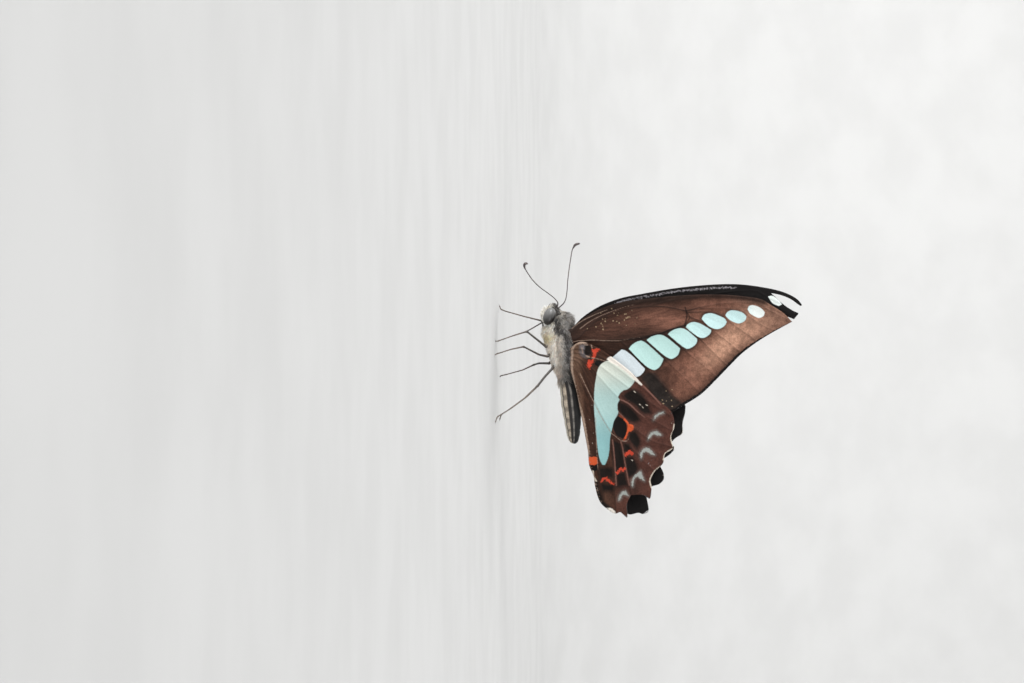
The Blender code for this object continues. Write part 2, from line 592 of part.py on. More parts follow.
cut_clear(leg("leg_fore_left", FORE_LEG_LEFT, FORE_FOOT_LEFT), thorax_clearance)
cut_clear(leg("leg_fore_right", FORE_LEG_RIGHT, FORE_FOOT_RIGHT), thorax_clearance)
cut_clear(leg("leg_mid_left", MID_LEG_LEFT, MID_FOOT_LEFT), thorax_clearance)
cut_clear(leg("leg_mid_right", MID_LEG_RIGHT, MID_FOOT_RIGHT), thorax_clearance)
cut_clear(feeler("antenna_left", ANTENNA_LEFT, CLUB_LEFT), head_clearance)
cut_clear(feeler("antenna_right", ANTENNA_RIGHT, CLUB_RIGHT), head_clearance)

proboscis_path = smooth_path([Vector(p) for p in PROBOSCIS_PATH], PROBOSCIS_STEP)
proboscis = tube("proboscis", proboscis_path, [PROBOSCIS_RADIUS] * len(proboscis_path), HORN)
cut_clear(proboscis, head_clearance)

forewing_veins = list(FOREWING_VEINS.values())
hindwing_veins = list(HINDWING_VEINS.values())
for word, side, apex, margin, fore_turn, hind_turn in (
        ("left", 1.0, LEFT_APEX_WORN, LEFT_HINDWING_MARGIN, 0.0, 0.0),
        ("right", -1.0, RIGHT_APEX_TORN, RIGHT_HINDWING_MARGIN, RIGHT_FOREWING_TURN, RIGHT_HINDWING_TURN)):
    forewing_loop = outline_loop(FOREWING_STALK, FOREWING_COSTA, apex, FOREWING_MARGIN, FOREWING_INNER)
    hindwing_loop = outline_loop(HINDWING_STALK, HINDWING_COSTA, margin, HINDWING_INNER)
    cut_clear(wing("forewing_" + word, FOREWING_ROOT, forewing_loop, forewing_veins, forewing_x, side,
                   fore_turn), thorax_clearance)
    cut_clear(wing("hindwing_" + word, HINDWING_ROOT, hindwing_loop, hindwing_veins, hindwing_x, side,
                   hind_turn), thorax_clearance)
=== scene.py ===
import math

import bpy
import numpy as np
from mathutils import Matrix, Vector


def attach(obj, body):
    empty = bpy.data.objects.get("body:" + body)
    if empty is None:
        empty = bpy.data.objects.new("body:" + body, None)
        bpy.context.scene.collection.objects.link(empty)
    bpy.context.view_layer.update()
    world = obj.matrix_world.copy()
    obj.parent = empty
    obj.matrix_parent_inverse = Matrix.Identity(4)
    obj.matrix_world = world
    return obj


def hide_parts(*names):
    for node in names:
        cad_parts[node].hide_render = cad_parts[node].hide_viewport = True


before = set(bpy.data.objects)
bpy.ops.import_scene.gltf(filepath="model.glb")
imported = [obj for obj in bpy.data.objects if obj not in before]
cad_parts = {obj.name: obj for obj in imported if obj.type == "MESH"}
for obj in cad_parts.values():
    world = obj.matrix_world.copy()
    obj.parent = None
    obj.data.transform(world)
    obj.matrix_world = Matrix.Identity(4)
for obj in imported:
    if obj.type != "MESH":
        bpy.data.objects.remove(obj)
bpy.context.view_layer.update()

# %% [markdown]
# # A common bluebottle butterfly
#
# The insect stands on the floor with its wings closed over its back, as it does while it drinks.
# Its head points to -Y, its left side to +X, and its wings rise along +Z.
#
# What we look at is mostly wing. Each wing is a membrane thinner than paper, stiffened by veins and
# tiled with scales, so nearly all of its look is colour laid out by place. We work out each wing as a
# fine grid with numpy, measure at every point how far it lies inside each marking, and let the
# materials turn those distances into crisp edges. The body is one skin under tens of thousands of
# tufts of hair.

MM = 0.001
random = np.random.default_rng(11)

# %% [markdown]
# ## The camera
#
# The picture shows the insect from its left, a little above the floor. Its body hung upright there,
# and here it stands on the floor, so the camera is rolled a quarter turn: up in this scene is right in
# the picture. A long lens from half a metre keeps the two sides of the body nearly the same size.

# %% Place the camera
LENS = 100.0
SENSOR = 36.0
CAMERA_DISTANCE = 0.527
CAMERA_PITCH = math.radians(2.3)
CAMERA_AIM = Vector((0.0, -0.00695, 0.00278))


def place_camera():
    """Look at the aim from the left side. The picture's right is the scene's up."""
    out = Vector((math.cos(CAMERA_PITCH), 0.0, math.sin(CAMERA_PITCH)))
    right = Vector((-math.sin(CAMERA_PITCH), 0.0, math.cos(CAMERA_PITCH)))
    up = out.cross(right)
    data = bpy.data.cameras.new("camera")
    data.lens = LENS
    data.sensor_width = SENSOR
    data.clip_start = 0.01
    data.clip_end = 20.0
    camera = bpy.data.objects.new("camera", data)
    bpy.context.scene.collection.objects.link(camera)
    turn = Matrix((right, up, out)).transposed().to_4x4()
    camera.matrix_world = Matrix.Translation(CAMERA_AIM + out * CAMERA_DISTANCE) @ turn
    bpy.context.scene.camera = camera
    print("camera at", [round(value, 3) for value in camera.matrix_world.translation])


place_camera()

# %% [markdown]
# ## Curves and soft steps
#
# A few small helpers do most of the shaping. One draws a smooth curve through a few given points, and
# one spaces points evenly along a line. Two more give soft changes: an even S from 0 to 1, and a bell.
# Everything is worked out in millimetres and scaled when a mesh is made.


# %% Smooth curves through given points
def through(points, samples):
    """Catmull-Rom curve: each sample blends its four nearest given points by cubic weights."""
    points = np.asarray(points, float)
    last = len(points) - 1
    place = np.linspace(0.0, last, samples)
    span = np.minimum(place.astype(int), last - 1)
    t = (place - span)[:, None]
    a, b, c, d = (points[np.clip(span + k, 0, last)] for k in (-1, 0, 1, 2))
    return 0.5 * (2 * b + (c - a) * t + (2 * a - 5 * b + 4 * c - d) * t ** 2
                  + (3 * b - a - 3 * c + d) * t ** 3)


def travelled_along(line):
    """How far it is from the line's start to each of its points."""
    return np.concatenate([[0.0], np.cumsum(np.linalg.norm(np.diff(line, axis=0), axis=1))])


def evenly(line, count):
    """Points at equal steps of length along a line of straight pieces."""
    travelled = travelled_along(line)
    wanted = np.linspace(0.0, travelled[-1], count)
    return np.stack([np.interp(wanted, travelled, column) for column in line.T], axis=1)


def smoothstep(low, high, value):
    """0 below low, 1 above high, and an even S between them."""
    t = np.clip((value - low) / (high - low), 0.0, 1.0)
    return t * t * (3 - 2 * t)


def bell(distance, reach, power=2):
    """1 in the middle, and falling away smoothly with the distance from it."""
    return np.exp(-(distance / reach) ** power)


def rotation(turn):
    """The matrix that turns rows of places in a plane."""
    return np.array(((math.cos(turn), math.sin(turn)), (-math.sin(turn), math.cos(turn))))


# %% [markdown]
# ## From arrays to meshes
#
# Blender takes a mesh fastest from whole arrays. The corners of all faces go in as one long list of
# vertex numbers, with the number of corners of each face beside it. A grid of points, row by row,
# gives a mesh of quads.


# %% Make a mesh from arrays
def mesh_object(name, points, quads, triangles=None):
    """A new object from points in millimetres, an array of quads and an array of triangles."""
    triangles = np.zeros((0, 3), int) if triangles is None else np.asarray(triangles)
    corners = np.concatenate([np.asarray(quads).ravel(), triangles.ravel()]).astype(np.int32)
    sizes = np.concatenate([np.full(len(quads), 4), np.full(len(triangles), 3)]).astype(np.int32)
    starts = np.concatenate([[0], np.cumsum(sizes)[:-1]]).astype(np.int32)
    mesh = bpy.data.meshes.new(name)
    mesh.vertices.add(len(points))
    mesh.vertices.foreach_set("co", (np.asarray(points) * MM).astype(np.float32).ravel())
    mesh.loops.add(len(corners))
    mesh.loops.foreach_set("vertex_index", corners)
    mesh.polygons.add(len(sizes))
    mesh.polygons.foreach_set("loop_start", starts)
    mesh.polygons.foreach_set("use_smooth", np.ones(len(sizes), bool))
    mesh.update(calc_edges=True)
    mesh.validate()
    made = bpy.data.objects.new(name, mesh)
    bpy.context.scene.collection.objects.link(made)
    return made


def grid_quads(rows, columns, around=False):
    """Vertex numbers of the quads of a grid, whose last column joins the first where it goes around."""
    row, column = np.meshgrid(np.arange(rows - 1), np.arange(columns - (0 if around else 1)), indexing="ij")
    across = (column + 1) % columns
    quads = np.stack([row * columns + column, row * columns + across,
                      (row + 1) * columns + across, (row + 1) * columns + column], axis=-1)
    return quads.reshape(-1, 4)


def note(piece, name, values, kind="FLOAT_COLOR"):
    """Store one number, one colour or one vector at each vertex for the materials to read."""
    values = np.asarray(values, np.float32)
    if values.ndim == 1:
        piece.data.attributes.new(name, "FLOAT", "POINT").data.foreach_set("value", values)
    elif kind == "FLOAT_VECTOR":
        piece.data.attributes.new(name, kind, "POINT").data.foreach_set("vector", values.ravel())
    else:
        colour = np.concatenate([values, np.ones((len(values), 1), np.float32)], axis=1)
        piece.data.attributes.new(name, "FLOAT_COLOR", "POINT").data.foreach_set("color", colour.ravel())


def unwrap(piece, places):
    """Give each face corner its UV place. One place for each vertex is also enough."""
    places = np.asarray(places, np.float32)
    if len(places) == len(piece.data.vertices):
        corners = np.zeros(len(piece.data.loops), np.int32)
        piece.data.loops.foreach_get("vertex_index", corners)
        places = places[corners]
    piece.data.uv_layers.new(name="OFBake").data.foreach_set("uv", places.ravel())


def settle(piece, slot, *nodes):
    """The piece joins the insect's one body and hides the CAD nodes it stands for. The slot is not used."""
    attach(piece, "root")
    if nodes:
        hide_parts(*nodes)
    print(piece.name, len(piece.data.polygons), "faces")


# %% [markdown]
# ## Materials from nodes
#
# Every finish starts from the Principled shader. The helpers below keep the node code short: one adds
# a node and wires its inputs, one reads a number stored on the mesh, and one lays a colour over
# another wherever a stored depth is positive. A little noise is added to the depth first, because the
# edge of a marking on a wing is the ragged edge of single scales.


# %% Short ways to wire nodes
def new_finish(name, roughness, **settings):
    """A material with its Principled shader and the lists of its nodes and links."""
    finish = bpy.data.materials.new(name)
    finish.use_nodes = True
    tree = finish.node_tree
    shader = tree.nodes["Principled BSDF"]
    shader.inputs["Roughness"].default_value = roughness
    for setting, value in settings.items():
        shader.inputs[setting.replace("_", " ")].default_value = value
    return finish, tree, shader


def add_node(tree, kind, settings=None, **inputs):
    """A node of that kind, with its settings, and with inputs given as values or as other sockets."""
    node = tree.nodes.new(kind)
    for key, value in (settings or {}).items():
        setattr(node, key, value)
    for key, value in inputs.items():
        place = int(key[1:]) if key[0] == "i" and key[1:].isdigit() else key.replace("_", " ")
        if isinstance(value, bpy.types.NodeSocket):
            tree.links.new(value, node.inputs[place])
        else:
            node.inputs[place].default_value = value
    return node


def read(tree, name, colour=False):
    """The number or the colour that the mesh stores under that name."""
    node = add_node(tree, "ShaderNodeAttribute", {"attribute_name": name})
    return node.outputs["Color" if colour else "Fac"]


def sums(tree, operation, *values):
    """One step of arithmetic on sockets or numbers."""
    inputs = {f"i{k}": value for k, value in enumerate(values)}
    return add_node(tree, "ShaderNodeMath", {"operation": operation}, **inputs).outputs[0]


def ramp(tree, value, low, high, at_low, at_high):
    """A smooth step of a socket from one value to another."""
    settings = {"interpolation_type": "SMOOTHSTEP"}
    inputs = {"From_Min": low, "From_Max": high, "To_Min": at_low, "To_Max": at_high}
    node = add_node(tree, "ShaderNodeMapRange", settings, **inputs)
    tree.links.new(value, node.inputs["Value"])
    return node.outputs["Result"]


def grain(tree, per_mm, detail=3.0, offset=0.0):
    """Noise from 0 to 1 on the object's own coordinates, with so many lumps to a millimetre."""
    place = add_node(tree, "ShaderNodeTexCoord").outputs["Object"]
    moved = add_node(tree, "ShaderNodeMapping", Vector=place, Location=(offset, 0.0, 0.0))
    noise = add_node(tree, "ShaderNodeTexNoise", Vector=moved.outputs[0], Scale=per_mm / MM, Detail=detail)
    return noise.outputs["Fac"]


def as_colour(colour):
    """A colour with its fourth number, or a socket as it is."""
    return (*colour, 1.0) if isinstance(colour, tuple) else colour


def mixed(tree, share, first, second, blend="MIX"):
    """Two colours mixed by a share from 0 to 1."""
    node = add_node(tree, "ShaderNodeMix", {"data_type": "RGBA", "blend_type": blend},
                    i0=share, i6=as_colour(first), i7=as_colour(second))
    return node.outputs[2]


def toned(tree, colour, tone):
    """A colour made lighter or darker by a number."""
    grey = add_node(tree, "ShaderNodeCombineColor", Red=tone, Green=tone, Blue=tone).outputs[0]
    return mixed(tree, 1.0, colour, grey, "MULTIPLY")


def laid_over(tree, base, mark, colour, soft, ragged, strength):
    """The colour laid over the base where the stored depth of a marking, made ragged, is positive."""
    depth = sums(tree, "ADD", read(tree, mark), ragged)
    return mixed(tree, ramp(tree, depth, -soft, soft, 0.0, strength), base, colour)


def bumped(tree, shader, height, depth_mm, strength):
    """Raise the surface by a height from 0 to 1, at most that many millimetres."""
    bump = add_node(tree, "ShaderNodeBump", Height=height, Distance=depth_mm * MM, Strength=strength)
    tree.links.new(bump.outputs[0], shader.inputs["Normal"])


# %% [markdown]
# ## How far inside is a point?
#
# A marking with a crisp edge could be a picture, but a picture has only so many dots. Instead each
# vertex stores how many millimetres it lies inside the marking. That number changes evenly from vertex
# to vertex, so its zero line stays smooth and sharp however near the camera comes.


# %% Distances on the wing
def place_on(points, start, end):
    """The place on a straight piece that is nearest to each point: along it, clamped to its ends."""
    span = end - start
    t = np.clip((points - start) @ span / max(span @ span, 1e-12), 0.0, 1.0)
    return start + t[:, None] * span


def distance_to(points, line):
    """Shortest distance from each point to a line of straight pieces."""
    best = np.full(len(points), np.inf)
    for start, end in zip(line[:-1], line[1:]):
        best = np.minimum(best, np.linalg.norm(points - place_on(points, start, end), axis=1))
    return best


def closed(loop):
    """The loop with its first point again at its end."""
    return np.concatenate([loop, loop[:1]])


def depth_in(points, loop):
    """Distance to a closed loop. It is positive inside, where a ray to one side crosses it oddly often."""
    ends = np.roll(loop, -1, axis=0)
    inside = np.zeros(len(points), bool)
    for (au, av), (bu, bv) in zip(loop, ends):
        if av != bv:
            crossing = au + (bu - au) * (points[:, 1] - av) / (bv - av)
            inside ^= ((av > points[:, 1]) != (bv > points[:, 1])) & (points[:, 0] < crossing)
    gap = distance_to(points, closed(loop))
    return np.where(inside, gap, -gap)


def nearest_on(points, loop):
    """The nearest place on a closed loop to each point."""
    best = np.full(len(points), np.inf)
    found = points.copy()
    for start, end in zip(loop, np.roll(loop, -1, axis=0)):
        place = place_on(points, start, end)
        gap = np.linalg.norm(points - place, axis=1)
        found[gap < best] = place[gap < best]
        best = np.minimum(best, gap)
    return found


def patches(points, shapes):
    """Depth inside the nearest of several patches, whose sharp corners stay sharp."""
    return np.max([depth_in(points, outline(shape, pieces=5)) for shape in shapes], axis=0)


def strokes(points, lines, width):
    """Depth inside strokes of that width along smooth lines."""
    gaps = [distance_to(points, through(line, 8 * len(line))) for line in lines]
    return width / 2 - np.min(gaps, axis=0)


# %% [markdown]
# ## The wings' outlines and veins
#
# Places on a wing are measured from its root: how far up the wing, then how far back. These are the
# same outlines as the solids have. Real wings of this species have a long straight forewing with a
# pointed tip, and a hindwing with a scalloped margin. This one has lived: its left forewing tip is
# worn, the right one is torn, and the hindwings have notches.

# %% Outlines in millimetres from the root
FOREWING_ROOT = np.array((13.7, -7.8))
HINDWING_ROOT = np.array((13.9, -5.4))
RIGHT_FOREWING_TURN = math.radians(-4.0)
RIGHT_HINDWING_TURN = math.radians(-6.4)
CORNER_TURN = math.radians(50.0)

FOREWING_STALK = [(0.2, 1.6), (-1.3, 1.4), (-1.8, 0.3), (-1.4, -0.9)]
FOREWING_COSTA = [(0.0, -1.5), (2.4, -3.5), (5.7, -5.3), (9.6, -6.5), (13.3, -7.0), (20.7, -7.7),
                  (28.1, -7.8), (31.9, -7.5), (35.5, -6.8)]
LEFT_APEX_WORN = [(36.4, -6.2), (39.2, -4.4), (40.8, -2.8)]
RIGHT_APEX_TORN = [(39.3, -5.7), (41.2, -4.75), (42.3, -3.9), (43.0, -2.9), (42.7, -2.7), (42.1, -3.2),
                   (41.0, -4.1), (39.2, -5.0), (37.4, -5.5), (38.2, -4.7), (39.1, -3.7), (40.9, -2.2),
                   (42.3, -1.4), (41.3, -0.4)]
FOREWING_MARGIN = [(38.6, -1.6), (36.8, -0.6), (34.4, 0.9), (31.5, 3.1), (29.2, 5.4), (26.9, 7.8),
                   (24.0, 10.6), (20.7, 12.7), (18.6, 14.0)]
FOREWING_INNER = [(13.0, 10.6), (7.0, 6.0), (2.6, 2.8)]
HINDWING_STALK = [(-0.5, 2.3), (-1.8, 2.0), (-2.2, 0.9), (-1.8, -0.1), (-0.2, -0.4)]
HINDWING_COSTA = [(0.7, -1.1), (1.8, -1.5), (3.3, -1.1), (5.2, -0.2), (7.9, 1.7), (10.7, 3.9), (13.5, 6.7),
                  (16.3, 9.6)]
LEFT_HINDWING_MARGIN = [(18.4, 11.5), (18.9, 14.0), (18.3, 16.0), (18.6, 18.1), (17.2, 19.2), (16.8, 20.9),
                        (15.3, 22.4), (14.5, 24.0), (14.7, 25.3), (14.4, 27.4), (13.1, 26.8), (10.9, 26.8),
                        (10.2, 28.3), (10.2, 30.9), (8.9, 29.9), (8.0, 30.2), (6.7, 29.5), (5.3, 28.2)]
RIGHT_HINDWING_MARGIN = [(17.4, 10.6), (19.5, 12.3), (19.6, 13.4), (18.8, 15.9), (18.6, 17.6), (17.2, 18.4),
                         (16.2, 19.2), (16.8, 20.0), (16.3, 20.9), (13.5, 22.4), (14.3, 25.2), (13.5, 26.4),
                         (11.9, 26.8), (10.6, 27.3), (10.8, 31.0), (9.7, 31.7), (8.8, 31.4), (7.1, 31.5),
                         (6.0, 30.4), (5.1, 28.4)]
HINDWING_INNER = [(4.3, 25.3), (4.0, 23.3), (3.2, 21.3), (3.0, 18.9), (1.7, 12.0), (0.8, 7.4), (-0.1, 4.2)]


def outline(*stretches, pieces=10):
    """A closed outline: cubic pieces that meet in one slope, except where the outline turns sharply."""
    corners = np.array([point for stretch in stretches for point in stretch], float)
    spans = np.roll(corners, -1, axis=0) - corners
    lengths = np.linalg.norm(spans, axis=1, keepdims=True)
    ways = spans / lengths
    before = np.roll(ways, 1, axis=0)
    soft = (np.arccos(np.clip((before * ways).sum(1), -1, 1)) < CORNER_TURN)[:, None]
    leave = np.where(soft, (before + ways) / 2, ways) * lengths
    arrive = np.where(np.roll(soft, -1, axis=0), (ways + np.roll(ways, -1, axis=0)) / 2, ways) * lengths
    t = np.linspace(0, 1, pieces, endpoint=False)[None, :, None]
    start, end = corners[:, None], np.roll(corners, -1, axis=0)[:, None]
    fine = (start * (2 * t ** 3 - 3 * t ** 2 + 1) + end * (3 * t ** 2 - 2 * t ** 3)
            + leave[:, None] * (t ** 3 - 2 * t ** 2 + t) + arrive[:, None] * (t ** 3 - t ** 2))
    return fine.reshape(-1, 2)


# %% Veins in millimetres from the root
FOREWING_VEINS = [
    [(-0.8, 0.4), (1.2, 0.3), (2.9, -1.3), (5.4, -3.4), (8.5, -4.6), (11.9, -5.4), (16.8, -5.6),
     (21.3, -4.8)],
    [(-0.8, 0.9), (1.7, 0.8), (5.4, 0.7), (9.1, 0.6), (12.8, 0.0), (16.5, -0.7), (21.1, -2.2)],
    [(21.3, -4.8), (21.9, -3.6), (21.1, -2.2)],
    [(-0.9, -0.3), (0.9, -1.6), (2.2, -2.6), (4.0, -3.9), (7.0, -5.1), (11.0, -6.1), (16.0, -6.9)],
    [(13.6, -5.5), (19.0, -6.8), (23.5, -7.3)],
    [(21.3, -4.8), (27.5, -6.1), (34.0, -6.2), (36.6, -4.9), (40.0, -3.1)],
    [(24.0, -5.3), (28.8, -5.2), (31.4, -4.8), (32.8, -3.8), (34.6, -2.5), (37.4, -1.1)],
    [(21.4, -4.5), (24.8, -4.6), (27.6, -4.1), (29.0, -3.0), (31.3, -1.3), (34.3, 0.8)],
    [(21.9, -3.6), (24.4, -2.7), (26.1, -1.3), (28.8, 0.8), (31.2, 2.8)],
    [(21.1, -2.2), (24.0, 0.6), (26.6, 3.2), (28.7, 5.2)],
    [(17.0, -0.9), (20.9, 2.4), (24.1, 5.0), (26.9, 7.5)],
    [(12.8, 0.0), (17.9, 4.7), (23.8, 10.3)],
    [(9.1, 0.6), (14.3, 6.1), (20.5, 12.4)],
    [(-0.6, 1.2), (2.4, 2.2), (8.0, 5.8), (13.4, 9.8), (18.2, 13.4)],
]
HINDWING_VEINS = [
    [(-0.9, 1.4), (1.4, 2.6), (2.9, 6.2), (4.9, 10.7), (7.3, 15.0), (9.4, 16.9)],
    [(-0.9, 0.9), (1.6, 1.8), (4.1, 3.9), (6.8, 6.9), (9.1, 9.2), (12.6, 11.7), (18.6, 15.0)],
    [(9.1, 9.2), (8.9, 11.4), (10.0, 13.4), (10.3, 14.6), (9.4, 16.9)],
    [(-0.9, 0.4), (2.0, 0.9), (5.2, 2.9), (9.8, 6.4), (13.5, 9.1), (18.2, 12.2)],
    [(-0.9, -0.1), (1.6, -0.1), (4.8, 1.1), (8.3, 3.2), (12.0, 6.2), (15.2, 9.0)],
    [(10.0, 13.4), (12.8, 15.5), (14.9, 16.9), (18.4, 17.9)],
    [(9.4, 16.9), (11.6, 18.7), (13.5, 20.8), (15.2, 22.3)],
    [(9.4, 16.9), (9.8, 19.4), (10.2, 22.2), (10.9, 26.6)],
    [(7.3, 15.0), (7.5, 18.5), (7.6, 22.2), (8.1, 30.0)],
    [(-0.7, 1.9), (0.9, 4.2), (2.6, 7.8), (3.9, 10.7), (4.5, 14.8), (4.8, 19.4), (5.0, 23.3), (5.9, 27.7)],
]

# %% [markdown]
# ## The bend of the closed wings
#
# Closed wings don't quite touch. The forewings lie nearly together in the middle, the hindwings lie
# outside them, and all four spread at the root, where they hinge on the sides of the body. The
# hindwing also has a hump over its shoulder. Each sheet is one formula of the place on it.

# %% The sheets' distance from the middle plane
FOREWING_FAR_X = 0.43
HINDWING_FAR_X = 1.27
WING_ROOT_X = 2.75
FOREWING_JOINT = np.array((12.4, -7.6))
HINDWING_JOINT = np.array((12.2, -4.8))
SHOULDER = np.array((15.2, -6.7))
FOREWING_BELL = 4.0
HINDWING_BELL = 10.0
SHOULDER_RISE = 0.9
SHOULDER_BELL = 1.7
ROOT_DIP = 0.8
DIP_BELL = 0.9


def forewing_sheet(height, y):
    """Small far out, and swelling to the root by a bell of the distance from the joint."""
    away = np.hypot(height - FOREWING_JOINT[0], y - FOREWING_JOINT[1])
    spread = FOREWING_FAR_X + (WING_ROOT_X - FOREWING_FAR_X) * bell(away, FOREWING_BELL, 1.5)
    return spread - ROOT_DIP * bell(away, DIP_BELL)


def hindwing_sheet(height, y):
    """A wider bell round its joint, and a small hump over the shoulder."""
    away = np.hypot(height - HINDWING_JOINT[0], y - HINDWING_JOINT[1])
    hump = np.hypot(height - SHOULDER[0], y - SHOULDER[1])
    spread = (WING_ROOT_X - HINDWING_FAR_X) * bell(away, HINDWING_BELL)
    raised = HINDWING_FAR_X + spread + SHOULDER_RISE * bell(hump, SHOULDER_BELL)
    return raised - ROOT_DIP * bell(away, DIP_BELL)


# %% [markdown]
# ## The wing surface
#
# Solidify could thicken a flat net, and a picture could cut its outline. We do both in one grid
# instead. A square grid is laid over the wing, cells whose middle falls outside are dropped, and the
# vertices along the rim slide onto the outline. The outer and the inner face are the same net, parted
# by the membrane's thickness. Veins swell both faces, the leading edge is thickest, and between the
# veins the membrane sags a little, which is what makes a real wing shimmer unevenly.

# %% Build one wing
WING_GRID = 0.15
MEMBRANE = 0.10
VEIN_RISE = 0.085
VEIN_WIDTH = 0.17
EDGE_RISE = 0.09
EDGE_WIDTH = 0.3
RIM_SHARE = 0.35
SAG = 0.11
RIPPLE = 0.06
RIPPLE_UP, RIPPLE_BACK, RIPPLE_START = 0.61, 0.83, 1.3


def wing_net(loop):
    """Grid vertices and quads inside a loop, with the rim's vertices moved onto it."""
    low, high = loop.min(0) - WING_GRID, loop.max(0) + WING_GRID
    us = np.arange(low[0], high[0], WING_GRID)
    vs = np.arange(low[1], high[1], WING_GRID)
    net = np.stack(np.meshgrid(us, vs, indexing="ij"), axis=-1).reshape(-1, 2)
    quads = grid_quads(len(us), len(vs))
    quads = quads[depth_in(net[quads].mean(axis=1), loop) > 0]
    kept, numbers = np.unique(quads, return_inverse=True)
    net, quads = net[kept], numbers.reshape(-1, 4)
    edges = np.concatenate([quads[:, [k, (k + 1) % 4]] for k in range(4)])
    keys = np.sort(edges, axis=1) @ np.array((len(net), 1))
    seen, uses = np.unique(keys, return_counts=True)
    rim = edges[np.isin(keys, seen[uses == 1])]
    on_rim = np.unique(rim)
    net[on_rim] = nearest_on(net[on_rim], loop)
    return net, quads, rim


def fan_places(places, centre, spread):
    """Streak coordinates: slow along rays from a centre, and quick from ray to ray."""
    offset = places - np.asarray(centre)
    reach = np.linalg.norm(offset, axis=1)
    angle = np.arctan2(offset[:, 1], offset[:, 0])
    return np.stack([0.35 * reach, spread * angle, np.zeros(len(places))], axis=1)


def standing(net, root, sheet, turn):
    """Places turned about the root, and how far the sheet, with a faint ripple, stands from the middle."""
    place = net @ rotation(turn) + root
    up, back = net.T
    ripple = np.sin(up * RIPPLE_UP + RIPPLE_START) * np.sin(back * RIPPLE_BACK) * RIPPLE
    return place, sheet(place[:, 0], place[:, 1]) + ripple


def wing_piece(name, root, loop, veins, sheet, side, turn, leading):
    """A closed shell of two nets and a rim. Returns the object and its places measured from the root."""
    net, quads, rim = wing_net(loop)
    to_vein = np.min([distance_to(net, through(vein, 8 * len(vein))) for vein in veins], axis=0)
    to_edge = distance_to(net, closed(loop))
    to_front = distance_to(net, np.asarray(leading, float))
    half = MEMBRANE / 2 + VEIN_RISE * bell(to_vein, VEIN_WIDTH)
    half += EDGE_RISE * bell(to_front, EDGE_WIDTH) * smoothstep(0.0, 0.25, to_edge + 0.1)
    half *= RIM_SHARE + (1 - RIM_SHARE) * smoothstep(0.0, 0.3, to_edge)
    inner = smoothstep(0.0, 1.6, np.minimum(to_vein, to_edge))
    place, middle = standing(net, root, sheet, turn)
    middle = middle - SAG * inner
    shells = [np.stack([(middle + half * way) * side, place[:, 1], place[:, 0]], axis=1) for way in (1, -1)]
    count = len(net)
    facing = quads if side > 0 else quads[:, ::-1]
    edge = rim if side > 0 else rim[:, ::-1]
    walls = np.stack([edge[:, 1], edge[:, 0], edge[:, 0] + count, edge[:, 1] + count], axis=1)
    faces = np.concatenate([facing, facing[:, ::-1] + count, walls])
    piece = mesh_object(name, np.concatenate(shells), faces)
    looks = np.repeat([0, 1, 0], [len(quads), len(quads), len(rim)]).astype(np.int32)
    piece.data.polygons.foreach_set("material_index", looks)
    both = np.concatenate([net, net])
    for mark, values in (("vein_gap", to_vein), ("edge_gap", to_edge), ("front_gap", to_front)):
        note(piece, mark, np.concatenate([values, values]))
    return piece, both


# %% [markdown]
# ## Where the forewing's markings lie
#
# A row of pale windows runs down the forewing, one in each space between two veins. They hold hardly
# any scales, and what shows is a blue-green pigment in the membrane itself, nearly white at the tip.
# Between the base and the row the underside is chocolate brown, past it a dusty rose brown.

# %% Forewing markings in millimetres from the root
FOREWING_WINDOWS = [
    [(7.2, 4.2), (8.1, 3.4), (8.7, 2.9), (9.4, 2.3), (10.2, 2.6), (13.7, 5.9), (13.5, 6.4),
     (12.5, 7.3), (10.9, 7.4)],
    [(10.7, 2.2), (11.2, 1.55), (12.2, 0.9), (13.0, 0.7), (13.6, 0.95), (15.0, 2.1), (17.1, 4.05),
     (16.9, 4.6), (16.3, 5.6), (15.5, 6.1), (14.8, 5.95), (13.8, 5.3)],
    [(14.0, 0.6), (14.6, 0.1), (15.4, -0.25), (16.5, -0.4), (17.3, -0.15), (18.3, 0.55), (20.15, 2.1),
     (20.05, 2.6), (19.7, 3.4), (18.6, 4.05), (18.0, 3.9), (17.1, 3.3)],
    [(17.9, -0.5), (18.5, -1.05), (19.35, -1.45), (20.5, -1.6), (21.2, -1.35), (23.3, 0.35), (23.3, 0.8),
     (22.9, 1.5), (21.5, 2.2), (21.0, 2.0), (20.15, 1.4)],
    [(21.2, -1.8), (21.6, -2.35), (22.6, -2.75), (23.5, -2.6), (25.9, -1.3), (25.85, -0.9), (25.4, -0.3),
     (24.4, 0.2), (23.8, 0.1), (22.5, -0.7)],
    [(24.15, -3.3), (24.5, -4.0), (25.3, -4.35), (26.1, -4.35), (27.35, -3.9), (28.4, -3.35), (28.75, -2.75),
     (28.4, -2.1), (27.4, -1.5), (26.5, -1.5), (25.4, -2.05)],
    [(28.5, -4.0), (28.9, -4.6), (29.6, -4.9), (30.75, -4.8), (31.8, -4.4), (32.4, -3.8), (32.2, -3.1),
     (31.1, -2.5), (30.0, -2.75), (29.0, -3.4)],
    [(32.6, -5.1), (32.8, -5.6), (33.5, -5.85), (34.9, -5.4), (35.75, -4.6), (35.6, -3.95), (34.75, -3.5),
     (33.9, -3.8), (33.0, -4.4)],
]
RIGHT_TIP_WINDOW = [(36.8, -4.9), (37.6, -5.0), (38.7, -4.1), (39.3, -3.3), (38.7, -3.0), (37.6, -3.6)]
